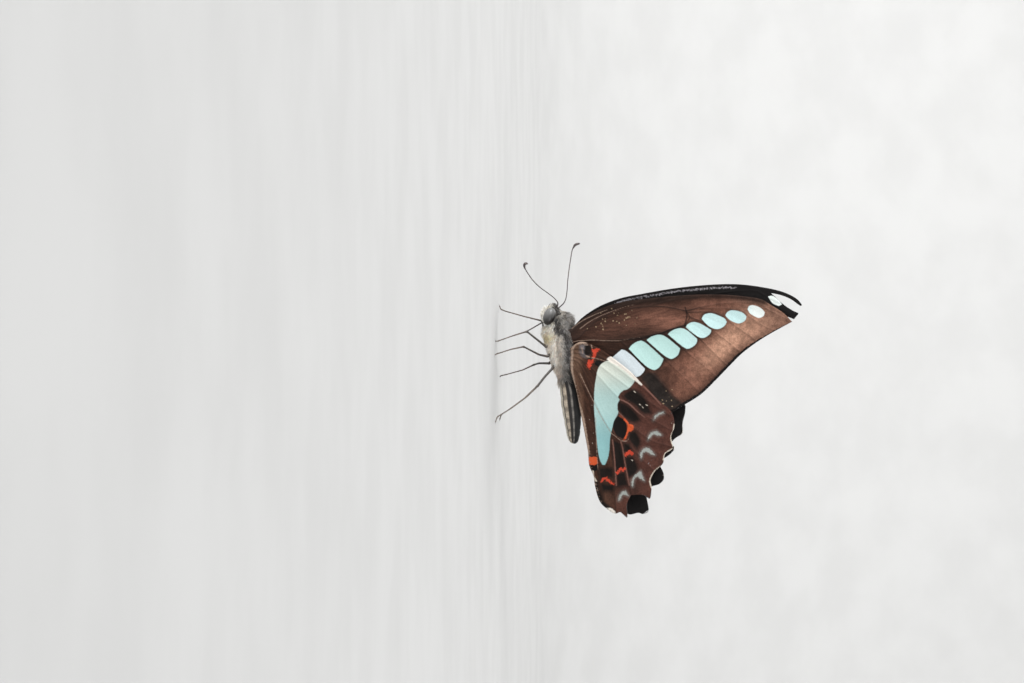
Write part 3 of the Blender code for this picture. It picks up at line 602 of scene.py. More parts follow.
FOREWING_PALE_LINES = [
    [(0.2, -1.5), (1.8, -2.8), (4.4, -4.1), (6.7, -5.0)],
    [(1.7, -1.5), (3.6, -2.9), (6.2, -4.2), (10.1, -5.6), (12.1, -6.0)],
    [(0.2, 1.0), (1.4, 0.75), (4.0, 0.6), (6.4, 0.7), (9.0, 0.7), (10.7, 0.4), (12.8, 0.1)],
]
FOREWING_DARK_LINES = [
    [(10.7, 0.5), (13.0, 0.3), (14.6, -0.1), (16.7, -0.6), (18.3, -1.3), (21.2, -2.1)],
    [(21.1, -5.4), (21.4, -4.2), (21.3, -3.2), (21.0, -2.2)],
]
FOREWING_SOOT = [(14.0, 6.3), (12.6, 7.4), (14.4, 10.0), (16.5, 12.4), (18.65, 13.7), (20.9, 12.2),
                 (18.7, 10.4), (17.0, 8.4), (15.2, 6.5)]
SPECK_CLUSTERS = (((9.2, -3.4), (1.9, 1.2), 26), ((5.2, -1.8), (1.2, 0.8), 9), ((17.8, 11.2), (0.7, 0.9), 9))
FOREWING_SPECKS = np.concatenate([random.normal(middle, spread, (count, 2))
                                  for middle, spread, count in SPECK_CLUSTERS])
WINDOW_ROW = (12.5, 7.2)
WINDOW_ROW_SLOPE = 0.487
WINDOW_ROW_COSINE = 0.9
CHOCOLATE = (0.034, 0.0155, 0.0102)
UMBER = (0.024, 0.013, 0.0095)
FOX_BROWN = (0.225, 0.100, 0.068)
CINNAMON = (0.205, 0.090, 0.060)
ROSE_BROWN = (0.48, 0.265, 0.178)
ROSEWOOD = (0.215, 0.115, 0.080)
LILAC_WHITE = (0.76, 0.84, 0.88)
PALE_AQUA = (0.52, 0.76, 0.72)
ICE = (0.60, 0.82, 0.82)
MILK = (0.82, 0.88, 0.85)
SOOT = (0.021, 0.0165, 0.0145)


def blend(first, second, share):
    """Two colours, or rows of colours, mixed row by row by a share that is held between 0 and 1."""
    return first + (np.asarray(second) - first) * np.clip(share, 0.0, 1.0)[:, None]


def painted(places, base, *coats):
    """One colour all over, and soft coats laid over it in order, each a colour and its share."""
    ground = np.tile(np.array(base), (len(places), 1))
    for colour, share in coats:
        ground = blend(ground, colour, share)
    return ground


def cloud(places, centre, reach, lean=0.0):
    """A soft oval: a bell of the distance from its centre, with its own reach along and across."""
    along = np.array((math.cos(lean), math.sin(lean)))
    offset = places - np.asarray(centre)
    across = offset @ np.array((-along[1], along[0]))
    return np.exp(-(offset @ along / reach[0]) ** 2 - (across / reach[1]) ** 2)


def past_windows(places):
    """How far a place lies beyond the row of windows, towards the outer margin."""
    up, back = places.T
    return (back - WINDOW_ROW[1] + WINDOW_ROW_SLOPE * (up - WINDOW_ROW[0])) * WINDOW_ROW_COSINE


def forewing_ground(places):
    """Chocolate at the base, fox brown in the cell, rose brown past the windows, soot at the corner."""
    up = places[:, 0]
    past_row = past_windows(places)
    rim = distance_to(places, np.array(FOREWING_MARGIN[1:]))
    front = distance_to(places, np.array(FOREWING_COSTA))
    row = patches(places, FOREWING_WINDOWS)
    soot = depth_in(places, outline(FOREWING_SOOT))
    return painted(
        places, CHOCOLATE,
        (FOX_BROWN, 0.95 * cloud(places, (18.5, -3.0), (5.5, 2.0), 0.1)),
        (FOX_BROWN, 0.35 * cloud(places, (10.0, -2.4), (6.0, 1.6), -0.3)),
        (CINNAMON, 0.75 * smoothstep(19.0, 25.0, up)),
        (CINNAMON, smoothstep(-0.8, 1.2, past_row)),
        (ROSEWOOD, 0.85 * smoothstep(27.0, 36.0, up)),
        (ROSE_BROWN, 1.1 * cloud(places, (28.9, 1.1), (6.0, 2.2), -0.75)),
        (ROSE_BROWN, 0.55 * cloud(places, (33.5, -1.6), (4.0, 1.6), -0.5)),
        (CHOCOLATE, 0.8 * smoothstep(22.0, 16.5, up) * smoothstep(0.0, 1.0, past_row)),
        (UMBER, 0.75 * smoothstep(2.2, 0.2, rim) * smoothstep(34.0, 29.0, up)),
        (UMBER, 0.65 * smoothstep(-0.7, -0.1, row) * smoothstep(31.0, 26.0, up)),
        (UMBER, 0.9 * smoothstep(1.5, 0.3, front)),
        (UMBER, 0.5 * smoothstep(2.4, 0.0, up)),
        (SOOT, 0.96 * smoothstep(-0.45, 0.7, soot)))


def forewing_glow(places):
    """The windows' own colour: lilac white near the body, aqua along the row, milk white at the tip."""
    up = places[:, 0]
    near_body = patches(places, FOREWING_WINDOWS[:1])
    return painted(places, PALE_AQUA, (ICE, smoothstep(17.0, 26.0, up)), (MILK, smoothstep(31.5, 34.0, up)),
                   (LILAC_WHITE, smoothstep(-0.3, 0.1, near_body)))


def spots(points, centres, radius):
    """Depth inside the nearest of many small round spots, whose sizes differ a little."""
    sizes = radius * (0.7 + 0.6 * np.abs(np.sin(np.arange(len(centres)) * 2.4)))
    gaps = np.linalg.norm(points[:, None] - np.asarray(centres)[None], axis=2)
    return np.max(sizes - gaps, axis=1)


# %% [markdown]
# ## Where the hindwing's markings lie
#
# The hindwing carries the widest part of the blue band, a red streak at its base, a few red dashes
# beyond the cell, black cells between the veins and a row of grey-white crescents near the margin.

# %% Hindwing markings in millimetres from the root
HINDWING_BAND = [
    (7.2, 2.0), (6.2, 2.1), (5.4, 2.6), (4.8, 3.6), (4.5, 5.0), (4.2, 7.0), (4.1, 10.0), (4.3, 13.5),
    (4.7, 17.5), (5.2, 20.4), (5.6, 21.2), (6.1, 21.2), (6.6, 20.1), (6.9, 18.5), (7.05, 16.4), (7.35, 14.8),
    (7.9, 12.9), (8.55, 11.6), (8.4, 10.7), (8.5, 9.8), (8.8, 9.2), (8.5, 8.7), (8.9, 8.0), (9.5, 7.5),
    (10.3, 7.2), (11.1, 6.5), (11.55, 5.8), (11.3, 5.0), (10.3, 4.1), (8.7, 3.0),
]
HINDWING_RED = [
    [(3.7, -0.2), (5.1, -0.2), (5.0, 0.2), (4.55, 0.7), (4.4, 1.45), (3.8, 1.4), (3.9, 0.5)],
    [(3.0, 1.9), (4.1, 1.8), (4.05, 2.3), (3.7, 2.7), (3.45, 3.5), (2.85, 3.25), (2.8, 2.5)],
    [(9.6, 19.3), (10.1, 18.75), (10.9, 18.55), (11.3, 19.0), (11.2, 19.5), (10.5, 19.3), (9.9, 19.6)],
]
HINDWING_RED_LINES = [
    [(8.3, 22.7), (8.7, 22.35), (9.1, 21.9), (9.4, 22.2), (9.7, 21.9)],
    [(5.5, 24.2), (6.25, 23.65), (6.7, 24.1), (7.6, 24.7)],
]
HINDWING_ORANGE = [
    [(10.3, 13.7), (11.2, 13.8), (11.45, 14.4), (11.05, 15.0), (10.3, 15.1)],
    [(2.9, 19.75), (4.7, 19.75), (4.8, 20.9), (4.4, 21.2), (3.0, 21.1)],
]
HINDWING_ORANGE_LINES = [
    [(9.7, 12.8), (10.35, 13.7), (10.4, 14.8), (10.15, 15.5), (9.85, 16.3)],
]
HINDWING_BLACK = [
    [(8.47, 12.2), (9.7, 13.0), (10.1, 14.0), (10.0, 15.5), (9.45, 16.4), (8.3, 15.8), (7.6, 14.3),
     (7.8, 13.1)],
    [(3.2, 21.2), (4.7, 21.1), (4.7, 22.2), (4.0, 22.4), (3.5, 22.3)],
    [(4.5, 1.9), (6.2, 2.15), (5.5, 2.5), (4.9, 3.1), (4.2, 2.7)],
]
HINDWING_RUST_LINES = [
    [(8.9, 12.2), (9.8, 12.9), (10.3, 14.0), (10.2, 15.5), (9.6, 16.6)],
]
HINDWING_DARK_CELLS = [
    [(9.6, 8.4), (10.5, 7.7), (11.3, 7.4), (12.4, 7.9), (13.6, 9.4), (14.5, 11.6), (13.3, 11.6),
     (11.6, 10.0), (9.9, 8.9)],
    [(8.7, 9.6), (10.0, 10.2), (11.6, 11.6), (12.5, 12.9), (11.4, 13.2), (10.2, 12.6), (9.4, 11.9),
     (8.75, 11.0)],
    [(10.7, 15.3), (11.6, 15.1), (12.2, 16.0), (12.5, 17.2), (12.0, 18.1), (11.2, 17.3), (10.6, 16.2)],
    [(9.6, 17.4), (10.5, 17.3), (10.8, 18.3), (10.2, 18.7), (9.6, 18.6)],
    [(7.7, 16.9), (8.9, 17.3), (9.4, 19.8), (9.6, 21.6), (9.0, 21.8), (8.3, 22.4), (7.9, 20.4)],
    [(8.4, 23.0), (9.7, 22.6), (10.2, 24.9), (8.6, 25.1)],
    [(9.9, 19.8), (11.2, 19.8), (11.8, 20.9), (12.1, 22.1), (11.4, 23.0), (10.5, 23.4), (10.1, 21.7)],
    [(5.6, 24.9), (7.7, 25.1), (7.5, 25.9), (5.8, 25.8)],
    [(5.1, 21.9), (7.4, 21.9), (7.5, 23.4), (5.3, 23.5)],
]
HINDWING_CRESCENTS = [
    [(15.0, 13.0), (15.3, 12.2), (16.1, 11.6), (16.9, 11.4), (17.0, 11.7), (16.3, 11.9), (15.55, 12.4)],
    [(14.2, 15.8), (14.7, 15.2), (15.6, 14.9), (16.6, 15.7), (15.9, 15.8), (15.0, 15.5), (14.5, 16.1),
     (14.0, 16.7)],
    [(12.8, 18.7), (13.5, 18.1), (14.25, 18.1), (15.3, 19.4), (14.6, 19.3), (13.8, 18.8), (13.1, 18.95),
     (12.8, 20.2), (12.55, 19.4)],
    [(11.4, 23.4), (12.1, 22.7), (12.7, 22.3), (13.4, 24.2), (12.8, 23.85), (12.1, 23.3), (11.6, 23.7),
     (11.2, 25.2), (11.0, 24.7)],
    [(8.7, 27.05), (9.3, 26.2), (9.9, 26.0), (10.5, 27.0), (9.9, 26.75), (9.3, 26.75), (8.9, 27.6),
     (8.6, 27.8)],
]
HINDWING_PALE_LINES = [
    [(2.7, 1.25), (3.6, 1.45), (4.6, 1.6), (6.2, 2.05)],
    [(5.2, 11.9), (7.1, 15.1), (8.0, 15.9), (9.0, 16.7), (10.1, 16.8), (10.5, 16.2)],
    [(1.5, 4.3), (2.9, 7.3), (4.2, 9.9), (5.2, 11.9)],
    [(4.4, 12.5), (4.6, 18.7), (4.8, 22.0)],
]
HINDWING_TAN_LINES = [
    [(2.6, -1.4), (1.1, -1.2), (0.2, -0.4), (0.05, 1.0), (0.0, 3.1), (0.3, 5.7), (0.95, 8.7), (1.6, 11.0),
     (2.1, 12.9), (2.65, 16.0), (3.1, 19.0)],
]
HINDWING_PINK_LINES = [
    [(8.8, 9.1), (10.5, 9.9), (12.1, 11.4), (13.4, 12.4)],
    [(9.0, 16.8), (9.4, 18.3), (9.8, 20.9), (10.2, 23.0), (10.6, 25.0)],
    [(7.5, 16.6), (7.8, 19.2), (8.0, 22.1), (8.2, 25.0)],
    [(13.0, 6.5), (14.6, 8.1), (16.4, 10.1)],
    [(8.6, 11.5), (9.7, 12.7), (10.3, 13.6)],
]
HINDWING_FRINGE = [
    [(18.9, 13.8), (18.7, 15.0), (18.3, 16.2), (18.6, 17.6)],
    [(18.4, 18.3), (17.3, 19.1), (16.9, 20.2)],
    [(16.2, 21.6), (15.1, 22.6), (14.4, 24.1), (14.7, 25.3)],
    [(3.9, 22.4), (4.0, 23.4), (4.5, 24.2)],
]
HINDWING_CREAM = [
    [(6.3, 29.2), (7.2, 29.2), (8.0, 29.9), (8.2, 30.4), (7.3, 30.1), (6.5, 29.7)],
    [(6.4, 1.7), (6.9, 1.3), (7.8, 1.2), (8.7, 2.0), (10.4, 3.5), (11.6, 4.8), (13.0, 6.4), (12.8, 6.6),
     (11.4, 5.4), (10.2, 4.3), (8.65, 3.1), (7.2, 2.3)],
]
# White specks. Two of them, at (11.05, 20.3) and (10.6, 9.3), are painted highlights on single scales.
HINDWING_SPECKS = [(3.7, 10.2), (3.3, 12.9), (4.0, 15.4), (3.8, 17.2), (3.1, 12.2), (11.05, 20.3),
                   (18.4, 13.5), (2.6, 14.4), (10.6, 9.3), (3.0, 9.0)]
# Painted highlights: short white glints where light catches the scales in the dark cells.
HINDWING_GLINTS = [
    [(11.4, 7.6), (11.8, 7.9)],
    [(12.4, 10.0), (12.8, 10.25)],
    [(12.9, 10.4), (13.2, 10.7)],
    [(13.6, 10.1), (14.0, 10.3)],
    [(10.9, 20.2), (11.2, 20.5)],
]
HINDWING_LOW_EDGE = ((4.2, 24.3), (4.5, 26.0), (5.3, 28.2), (6.7, 29.5))
SHOULDER_BLACK = [(2.4, -0.8), (3.0, -1.0), (3.5, -0.5), (3.6, 0.2), (3.3, 0.9), (2.7, 1.2), (2.3, 0.7)]
SHOULDER_GREY = [(1.4, -0.9), (2.2, -1.1), (2.9, -0.9), (3.3, 0.2), (2.8, 1.5), (2.0, 1.3), (1.5, 0.7)]
# Painted highlights: short glints where light catches the black shoulder patch, drawn as pale strokes.
SHOULDER_GLINTS = [
    [(1.9, -0.4), (1.95, 0.1), (2.05, 0.6)],
    [(2.3, -0.95), (3.0, -0.95)],
    [(3.55, -0.95), (3.75, -0.4)],
    [(2.6, 1.1), (3.2, 1.25)],
]
CEDAR = (0.048, 0.021, 0.0130)
MAROON = (0.085, 0.033, 0.024)
FAWN = (0.20, 0.115, 0.075)
SHOULDER_LILAC = (0.20, 0.18, 0.185)
NEAR_BLACK = (0.0095, 0.0062, 0.0050)
CRESCENT_GREY = (0.36, 0.385, 0.36)
CREAM_GREEN = (0.64, 0.68, 0.60)
SEA_GREEN = (0.43, 0.61, 0.585)
SKY_BLUE = (0.27, 0.495, 0.505)


def hindwing_ground(places):
    """Cedar brown, maroon out to the margin, a dark edge below, and near black between the veins."""
    up, back = places.T
    cells = patches(places, HINDWING_DARK_CELLS)
    crescents = patches(places, HINDWING_CRESCENTS)
    low_edge = distance_to(places, np.array(HINDWING_LOW_EDGE))
    shoulder_grey = depth_in(places, outline(SHOULDER_GREY))
    shoulder_black = depth_in(places, outline(SHOULDER_BLACK))
    return painted(
        places, CEDAR,
        (MAROON, smoothstep(6.0, 11.0, up)),
        (FAWN, 0.35 * smoothstep(1.5, 0.3, np.abs(up - 0.05 * back - 0.7))),
        (FAWN, 0.75 * cloud(places, (0.8, 0.9), (1.0, 2.2))),
        (FAWN, 0.08 * cloud(places, (6.7, 27.2), (1.1, 1.5))),
        (UMBER, 0.65 * cloud(places, (11.6, 25.4), (1.5, 1.3))),
        (CRESCENT_GREY, 0.16 * smoothstep(-0.6, 0.0, crescents)),
        (NEAR_BLACK, smoothstep(0.9, 0.3, low_edge)),
        (SHOULDER_LILAC, 0.85 * smoothstep(-0.3, 0.4, shoulder_grey)),
        (NEAR_BLACK, smoothstep(-0.25, 0.25, shoulder_black)),
        (NEAR_BLACK, 0.55 * smoothstep(-0.7, -0.1, cells)),
        (NEAR_BLACK, smoothstep(-0.18, 0.2, cells)))


def hindwing_glow(places):
    """Creamy green where the band is widest, sea green in the middle and sky blue at its point."""
    back = places[:, 1]
    return painted(places, SEA_GREEN, (CREAM_GREEN, smoothstep(9.5, 3.0, back)),
                   (SKY_BLUE, smoothstep(10.0, 17.0, back)))


# %% [markdown]
# ## Three finishes for the wings
#
# The brown underside and the black upper side share the same windows, because the windows go right
# through. Over the ground colour come, in order, the veins, the tan and pink lines, the windows, the
# rust, black and red marks, the pale lines, the crescents, and a few specks where scales were lost.
# Some of the hindwing's pale strokes and specks are painted highlights, white glints where light
# catches single scales, and the forewing's upper side has a painted lilac glint behind its front edge.
# The scales themselves are a tenth of a millimetre, so they are a fine bump with a slight change of tone.

# %% The underside and the upper side of a wing
BLACK_VELVET = (0.0070, 0.0060, 0.0060)
CARMINE = (0.55, 0.060, 0.030)
ORANGE = (0.60, 0.095, 0.030)
RUST = (0.22, 0.055, 0.028)
INK = (0.0065, 0.0050, 0.0048)
PALE_VEIN = (0.40, 0.28, 0.215)
TAN = (0.43, 0.31, 0.235)
PINK_VEIN = (0.19, 0.090, 0.070)
CREAM_FRINGE = (0.66, 0.58, 0.48)
CREAM_BAND = (0.86, 0.80, 0.72)
SPECK_AND_GLINT_WHITE = (0.62, 0.54, 0.45)
SPECK_TAN = (0.40, 0.29, 0.18)
FLECK_LILAC = (0.30, 0.26, 0.26)
GLINT_LILAC = (0.50, 0.47, 0.50)


def scales(tree):
    """Cells about a tenth of a millimetre across, for the rows of single scales."""
    place = add_node(tree, "ShaderNodeTexCoord").outputs["Object"]
    moved = add_node(tree, "ShaderNodeMapping", Vector=place, Scale=(1.0, 1.0, 0.6))
    return add_node(tree, "ShaderNodeTexVoronoi", Vector=moved.outputs[0], Scale=9.5 / MM)


def wing_finish(name, ground, marks, vein_colour, vein_share, roughness):
    """The ground, plain or stored and mottled and streaked, then every marking laid over it in order."""
    finish, tree, shader = new_finish(name, roughness, Specular_IOR_Level=0.09)
    cells = scales(tree).outputs["Distance"]
    on_vein = ramp(tree, read(tree, "vein_gap"), 0.05, 0.19, vein_share, 0.0)
    if ground is None:
        blotchy = read(tree, "blotchy")
        fan = add_node(tree, "ShaderNodeAttribute", {"attribute_name": "fan"}).outputs["Vector"]
        streak = add_node(tree, "ShaderNodeTexNoise", Vector=fan, Scale=1.0, Detail=4.0, Roughness=0.62)
        streak = ramp(tree, streak.outputs["Fac"], 0.3, 0.7, 0.68, 1.34)
        blotch = ramp(tree, grain(tree, 1.1, 5.0, offset=0.7), 0.3, 0.7, 0.76, 1.26)
        streaked = add_node(tree, "ShaderNodeMix", i0=blotchy, i2=streak, i3=blotch).outputs[0]
        mottle = ramp(tree, grain(tree, 4.2, 2.0, offset=0.3), 0.2, 0.8, 0.78, 1.22)
        colour = toned(tree, read(tree, "ground", colour=True), sums(tree, "MULTIPLY", streaked, mottle))
        on_vein = sums(tree, "MULTIPLY", on_vein, ramp(tree, blotchy, 0.0, 1.0, 1.0, 0.35))
    else:
        colour = mixed(tree, grain(tree, 2.0), ground, tuple(1.7 * part for part in ground))
    colour = mixed(tree, on_vein, colour, vein_colour)
    noise = sums(tree, "SUBTRACT", grain(tree, 3.2, 4.0), 0.5)
    for mark, paint, soft, ragged, strength in marks:
        paint = read(tree, paint, colour=True) if isinstance(paint, str) else paint
        colour = laid_over(tree, colour, mark, paint, soft, sums(tree, "MULTIPLY", noise, ragged), strength)
    colour = toned(tree, colour, ramp(tree, cells, 0.0, 0.7, 0.80, 0.66))
    tree.links.new(colour, shader.inputs["Base Color"])
    rough = sums(tree, "ADD", sums(tree, "MULTIPLY", grain(tree, 3.0), 0.25), roughness - 0.12)
    tree.links.new(rough, shader.inputs["Roughness"])
    height = sums(tree, "ADD", cells, sums(tree, "MULTIPLY", grain(tree, 1.5), 2.0))
    bumped(tree, shader, height, 0.03, 0.5)
    return finish


# Each mark: the stored depth, its colour, its softness in millimetres, its raggedness and its strength.
FOREWING_MARKS = [("pale_line", PALE_VEIN, 0.06, 0.1, 0.65), ("dark_line", INK, 0.10, 0.2, 0.75),
                  ("window", "glow", 0.09, 0.12, 1.0), ("black_rim", INK, 0.10, 0.45, 1.0),
                  ("specks", SPECK_TAN, 0.06, 0.45, 0.95)]
HINDWING_MARKS = [("tan_line", TAN, 0.15, 0.5, 0.9), ("pink_line", PINK_VEIN, 0.09, 0.2, 0.9),
                  ("window", "glow", 0.10, 0.2, 1.0), ("rust", RUST, 0.10, 0.25, 0.9),
                  ("black", INK, 0.08, 0.25, 1.0), ("red", CARMINE, 0.11, 1.1, 1.0),
                  ("orange", ORANGE, 0.09, 0.45, 1.0), ("cream", CREAM_BAND, 0.12, 0.3, 0.95),
                  ("pale_line", PALE_VEIN, 0.06, 0.22, 0.7), ("crescent", CRESCENT_GREY, 0.12, 0.6, 0.95),
                  ("fringe", CREAM_FRINGE, 0.09, 0.3, 0.9), ("fleck", FLECK_LILAC, 0.08, 3.4, 0.75),
                  ("specks", SPECK_AND_GLINT_WHITE, 0.06, 0.3, 0.9)]
UPPER_MARKS = [("window", "glow", 0.06, 0.12, 1.0), ("glint", GLINT_LILAC, 0.14, 1.1, 0.6)]
forewing_underside = wing_finish("forewing_underside", None, FOREWING_MARKS, UMBER, 0.65, 0.62)
hindwing_underside = wing_finish("hindwing_underside", None, HINDWING_MARKS, UMBER, 0.45, 0.62)
wing_upperside = wing_finish("wing_upperside", BLACK_VELVET, UPPER_MARKS, BLACK_VELVET, 0.5, 0.66)


# %% Make the four wings
# The glint is a painted highlight: a thin lilac strip behind the front edge of the forewing's upper side.
GLINT_FROM_FRONT = 0.60
GLINT_HALF = 0.10
FORE_SIDES = (("left", 1.0, LEFT_APEX_WORN, 0.0), ("right", -1.0, RIGHT_APEX_TORN, RIGHT_FOREWING_TURN))
HIND_SIDES = (("left", 1.0, LEFT_HINDWING_MARGIN, 0.0),
              ("right", -1.0, RIGHT_HINDWING_MARGIN, RIGHT_HINDWING_TURN))


def dress(piece, node, underside, measures):
    """Store a wing's measures at its vertices, and give it its two finishes and its CAD node."""
    for name, values in measures.items():
        note(piece, name, values)
    piece.data.materials.append(underside)
    piece.data.materials.append(wing_upperside)
    settle(piece, "wing_scales", node)


def forewing(word, side, apex, turn, windows):
    """One forewing with all its measures, lying on its sheet."""
    loop = outline(FOREWING_STALK, FOREWING_COSTA, apex, FOREWING_MARGIN, FOREWING_INNER)
    front = FOREWING_STALK[-1:] + FOREWING_COSTA + apex[:2]
    piece, places = wing_piece("forewing_" + word + ".wing", FOREWING_ROOT, loop, FOREWING_VEINS,
                               forewing_sheet, side, turn, front)
    up = places[:, 0]
    strip = GLINT_HALF - np.abs(distance_to(places, np.array(FOREWING_COSTA)) - GLINT_FROM_FRONT)
    note(piece, "fan", fan_places(places, (-4.0, 0.0), 30.0), "FLOAT_VECTOR")
    dress(piece, "forewing_" + word, forewing_underside, {
        "ground": forewing_ground(places),
        "glow": forewing_glow(places),
        "blotchy": np.maximum(smoothstep(-1.0, 1.0, past_windows(places)), smoothstep(22.0, 27.0, up)),
        "glint": strip - 1.5 * smoothstep(9.0, 5.0, up) - 1.5 * smoothstep(30.0, 36.0, up),
        "window": patches(places, windows),
        "pale_line": strokes(places, FOREWING_PALE_LINES, 0.19) - 0.006 * up,
        "dark_line": strokes(places, FOREWING_DARK_LINES, 0.3),
        "black_rim": strokes(places, [FOREWING_MARGIN], 0.95) - 0.3 * smoothstep(30, 37, up),
        "specks": spots(places, FOREWING_SPECKS, 0.085),
    })


def hindwing(word, side, margin, turn):
    """One hindwing with all its measures, lying on its sheet."""
    loop = outline(HINDWING_STALK, HINDWING_COSTA, margin, HINDWING_INNER)
    piece, places = wing_piece("hindwing_" + word + ".wing", HINDWING_ROOT, loop, HINDWING_VEINS,
                               hindwing_sheet, side, turn, HINDWING_COSTA)
    fleck = 0.9 * cloud(places, (14.4, 20.9), (1.5, 2.0), 0.6) + 0.5 * cloud(places, (16.6, 14.0), (1.6, 1.6))
    note(piece, "fan", fan_places(places, (-2.0, -3.0), 22.0), "FLOAT_VECTOR")
    dress(piece, "hindwing_" + word, hindwing_underside, {
        "ground": hindwing_ground(places),
        "glow": hindwing_glow(places),
        "blotchy": 0.6 * smoothstep(8.0, 13.0, places[:, 0]),
        "glint": np.full(len(places), -1.0),
        "cream": patches(places, HINDWING_CREAM),
        "window": patches(places, [HINDWING_BAND]),
        "red": np.maximum(patches(places, HINDWING_RED), strokes(places, HINDWING_RED_LINES, 0.4)),
        "orange": np.maximum(patches(places, HINDWING_ORANGE), strokes(places, HINDWING_ORANGE_LINES, 0.3)),
        "black": patches(places, HINDWING_BLACK),
        "rust": strokes(places, HINDWING_RUST_LINES, 0.4),
        # The pale lines, and the painted highlights on the shoulder in the same pale colour.
        "pale_line": np.maximum(strokes(places, HINDWING_PALE_LINES, 0.13),
                                strokes(places, SHOULDER_GLINTS, 0.2)),
        "tan_line": strokes(places, HINDWING_TAN_LINES, 0.42),
        "pink_line": strokes(places, HINDWING_PINK_LINES, 0.24),
        "crescent": patches(places, HINDWING_CRESCENTS),
        "fringe": strokes(places, HINDWING_FRINGE, 0.3),
        "fleck": fleck - 1.3,
        # White specks, and the glints: painted highlights in the same white.
        "specks": np.maximum(spots(places, HINDWING_SPECKS, 0.07), strokes(places, HINDWING_GLINTS, 0.14)),
    })


forewing(*FORE_SIDES[0], FOREWING_WINDOWS)
forewing(*FORE_SIDES[1], FOREWING_WINDOWS[:-1] + [RIGHT_TIP_WINDOW])
for wing_side in HIND_SIDES:
    hindwing(*wing_side)

# %% [markdown]
# ## The body's skin
#
# Head, thorax and abdomen are one skin, carried along a row of oval rings. Each ring is set by three
# things: a point on the belly, a point on the back, and half its width. The skin lies inside the body's
# true outline by the depth of the coat, which is thick on the thorax and thin on the abdomen.

# %% Rings from the face to the tail
BODY_STATIONS = [
    ((9.0, -11.6), (9.2, -12.4), 0.6), ((8.75, -10.8), (9.6, -13.6), 1.25),
    ((8.8, -10.1), (10.6, -14.1), 1.5), ((9.6, -9.9), (11.4, -13.4), 1.3),
    ((9.8, -9.9), (12.0, -12.8), 1.1), ((9.2, -9.5), (12.9, -12.3), 1.6),
    ((8.6, -8.5), (14.0, -11.6), 2.15), ((8.7, -7.1), (14.3, -10.6), 2.35), ((9.1, -5.4), (14.1, -8.9), 2.4),
    ((9.7, -3.7), (13.6, -6.7), 2.35), ((10.2, -2.2), (13.4, -4.3), 2.1), ((10.8, -1.1), (13.5, -2.4), 1.7),
    ((11.25, -0.2), (14.0, -1.1), 1.45), ((11.6, 2.4), (15.2, 1.7), 1.68), ((11.8, 4.8), (15.6, 4.3), 1.75),
    ((12.2, 7.0), (15.7, 6.7), 1.7), ((12.6, 9.1), (15.6, 8.9), 1.55), ((12.9, 10.6), (15.4, 10.6), 1.3),
    ((13.3, 11.5), (15.0, 11.7), 0.85), ((13.8, 11.9), (14.5, 12.0), 0.4),
]
NECK, WAIST, TAIL = 4.0, 11.6, 19.0
SEGMENTS = 8
RINGS, SIDES = 300, 96
COAT_DEPTH = 0.34
SCALE_DEPTH = 0.10
FOLD_DEPTH = 0.045
FOLD_WIDTH = 0.16


def body_skin_grid():
    """Rings of points, each the ring's middle, plus up times sine, plus half its width times cosine."""
    flat = np.array([(*belly, *back, half) for belly, back, half in BODY_STATIONS])
    rings = through(flat, RINGS)
    place = np.linspace(0.0, TAIL, RINGS)
    middle = (rings[:, 0:2] + rings[:, 2:4]) / 2
    up = (rings[:, 2:4] - rings[:, 0:2]) / 2
    depth = COAT_DEPTH + (SCALE_DEPTH - COAT_DEPTH) * smoothstep(WAIST - 0.8, WAIST + 1.2, place)
    inside = 1 - depth / np.linalg.norm(up, axis=1)
    ends = np.minimum(place / 0.5, (TAIL - place) / 0.6).clip(0, 1)
    shrink = inside * (0.02 + 0.98 * np.sqrt(1 - (1 - ends) ** 2))
    fold = (place - WAIST) / (TAIL - WAIST) * SEGMENTS
    shrink *= 1 - FOLD_DEPTH * bell(fold - np.round(fold), FOLD_WIDTH) * smoothstep(WAIST, WAIST + 0.8, place)
    angle = np.linspace(0.0, 2 * math.pi, SIDES, endpoint=False) - math.pi / 2
    side_view = middle[:, None] + (up * shrink[:, None])[:, None] * np.sin(angle)[None, :, None]
    x = (rings[:, 4] - depth)[:, None] * (shrink / inside)[:, None] * np.cos(angle)
    return np.stack([x, side_view[..., 1], side_view[..., 0]], axis=-1)


BODY = body_skin_grid()
AROUND = np.broadcast_to(np.arange(SIDES) / SIDES, (RINGS, SIDES))
ALONG = np.broadcast_to(np.linspace(0.0, TAIL, RINGS)[:, None], (RINGS, SIDES))
print("skin grid", BODY.shape)

# %% [markdown]
# ## The body's colours
#
# Both the skin and its coat ask the same function for their colour, so a marking never breaks where
# the hair ends. Below, the breast is cream. Dark hairs mix in towards the back until they outweigh the
# pale ones. The abdomen is striped along its length: cream below, then dark, beige, dark, a grey line,
# and black on the back.

# %% Colours by place on the body
BREAST_CREAM = np.array((0.97, 0.90, 0.81))
FACE_CREAM = np.array((0.95, 0.92, 0.83))
WARM_CREAM = np.array((0.95, 0.79, 0.40))
HAIR_BEIGE = np.array((0.66, 0.54, 0.455))
HAIR_GREY = np.array((0.34, 0.328, 0.31))
HAIR_DARK = np.array((0.040, 0.034, 0.032))
BELLY_CREAM = np.array((0.48, 0.44, 0.36))
FLANK_BEIGE = np.array((0.25, 0.21, 0.165))
LINE_GREY = np.array((0.24, 0.22, 0.20))
BACK_BLACK = np.array((0.003, 0.0025, 0.0025))
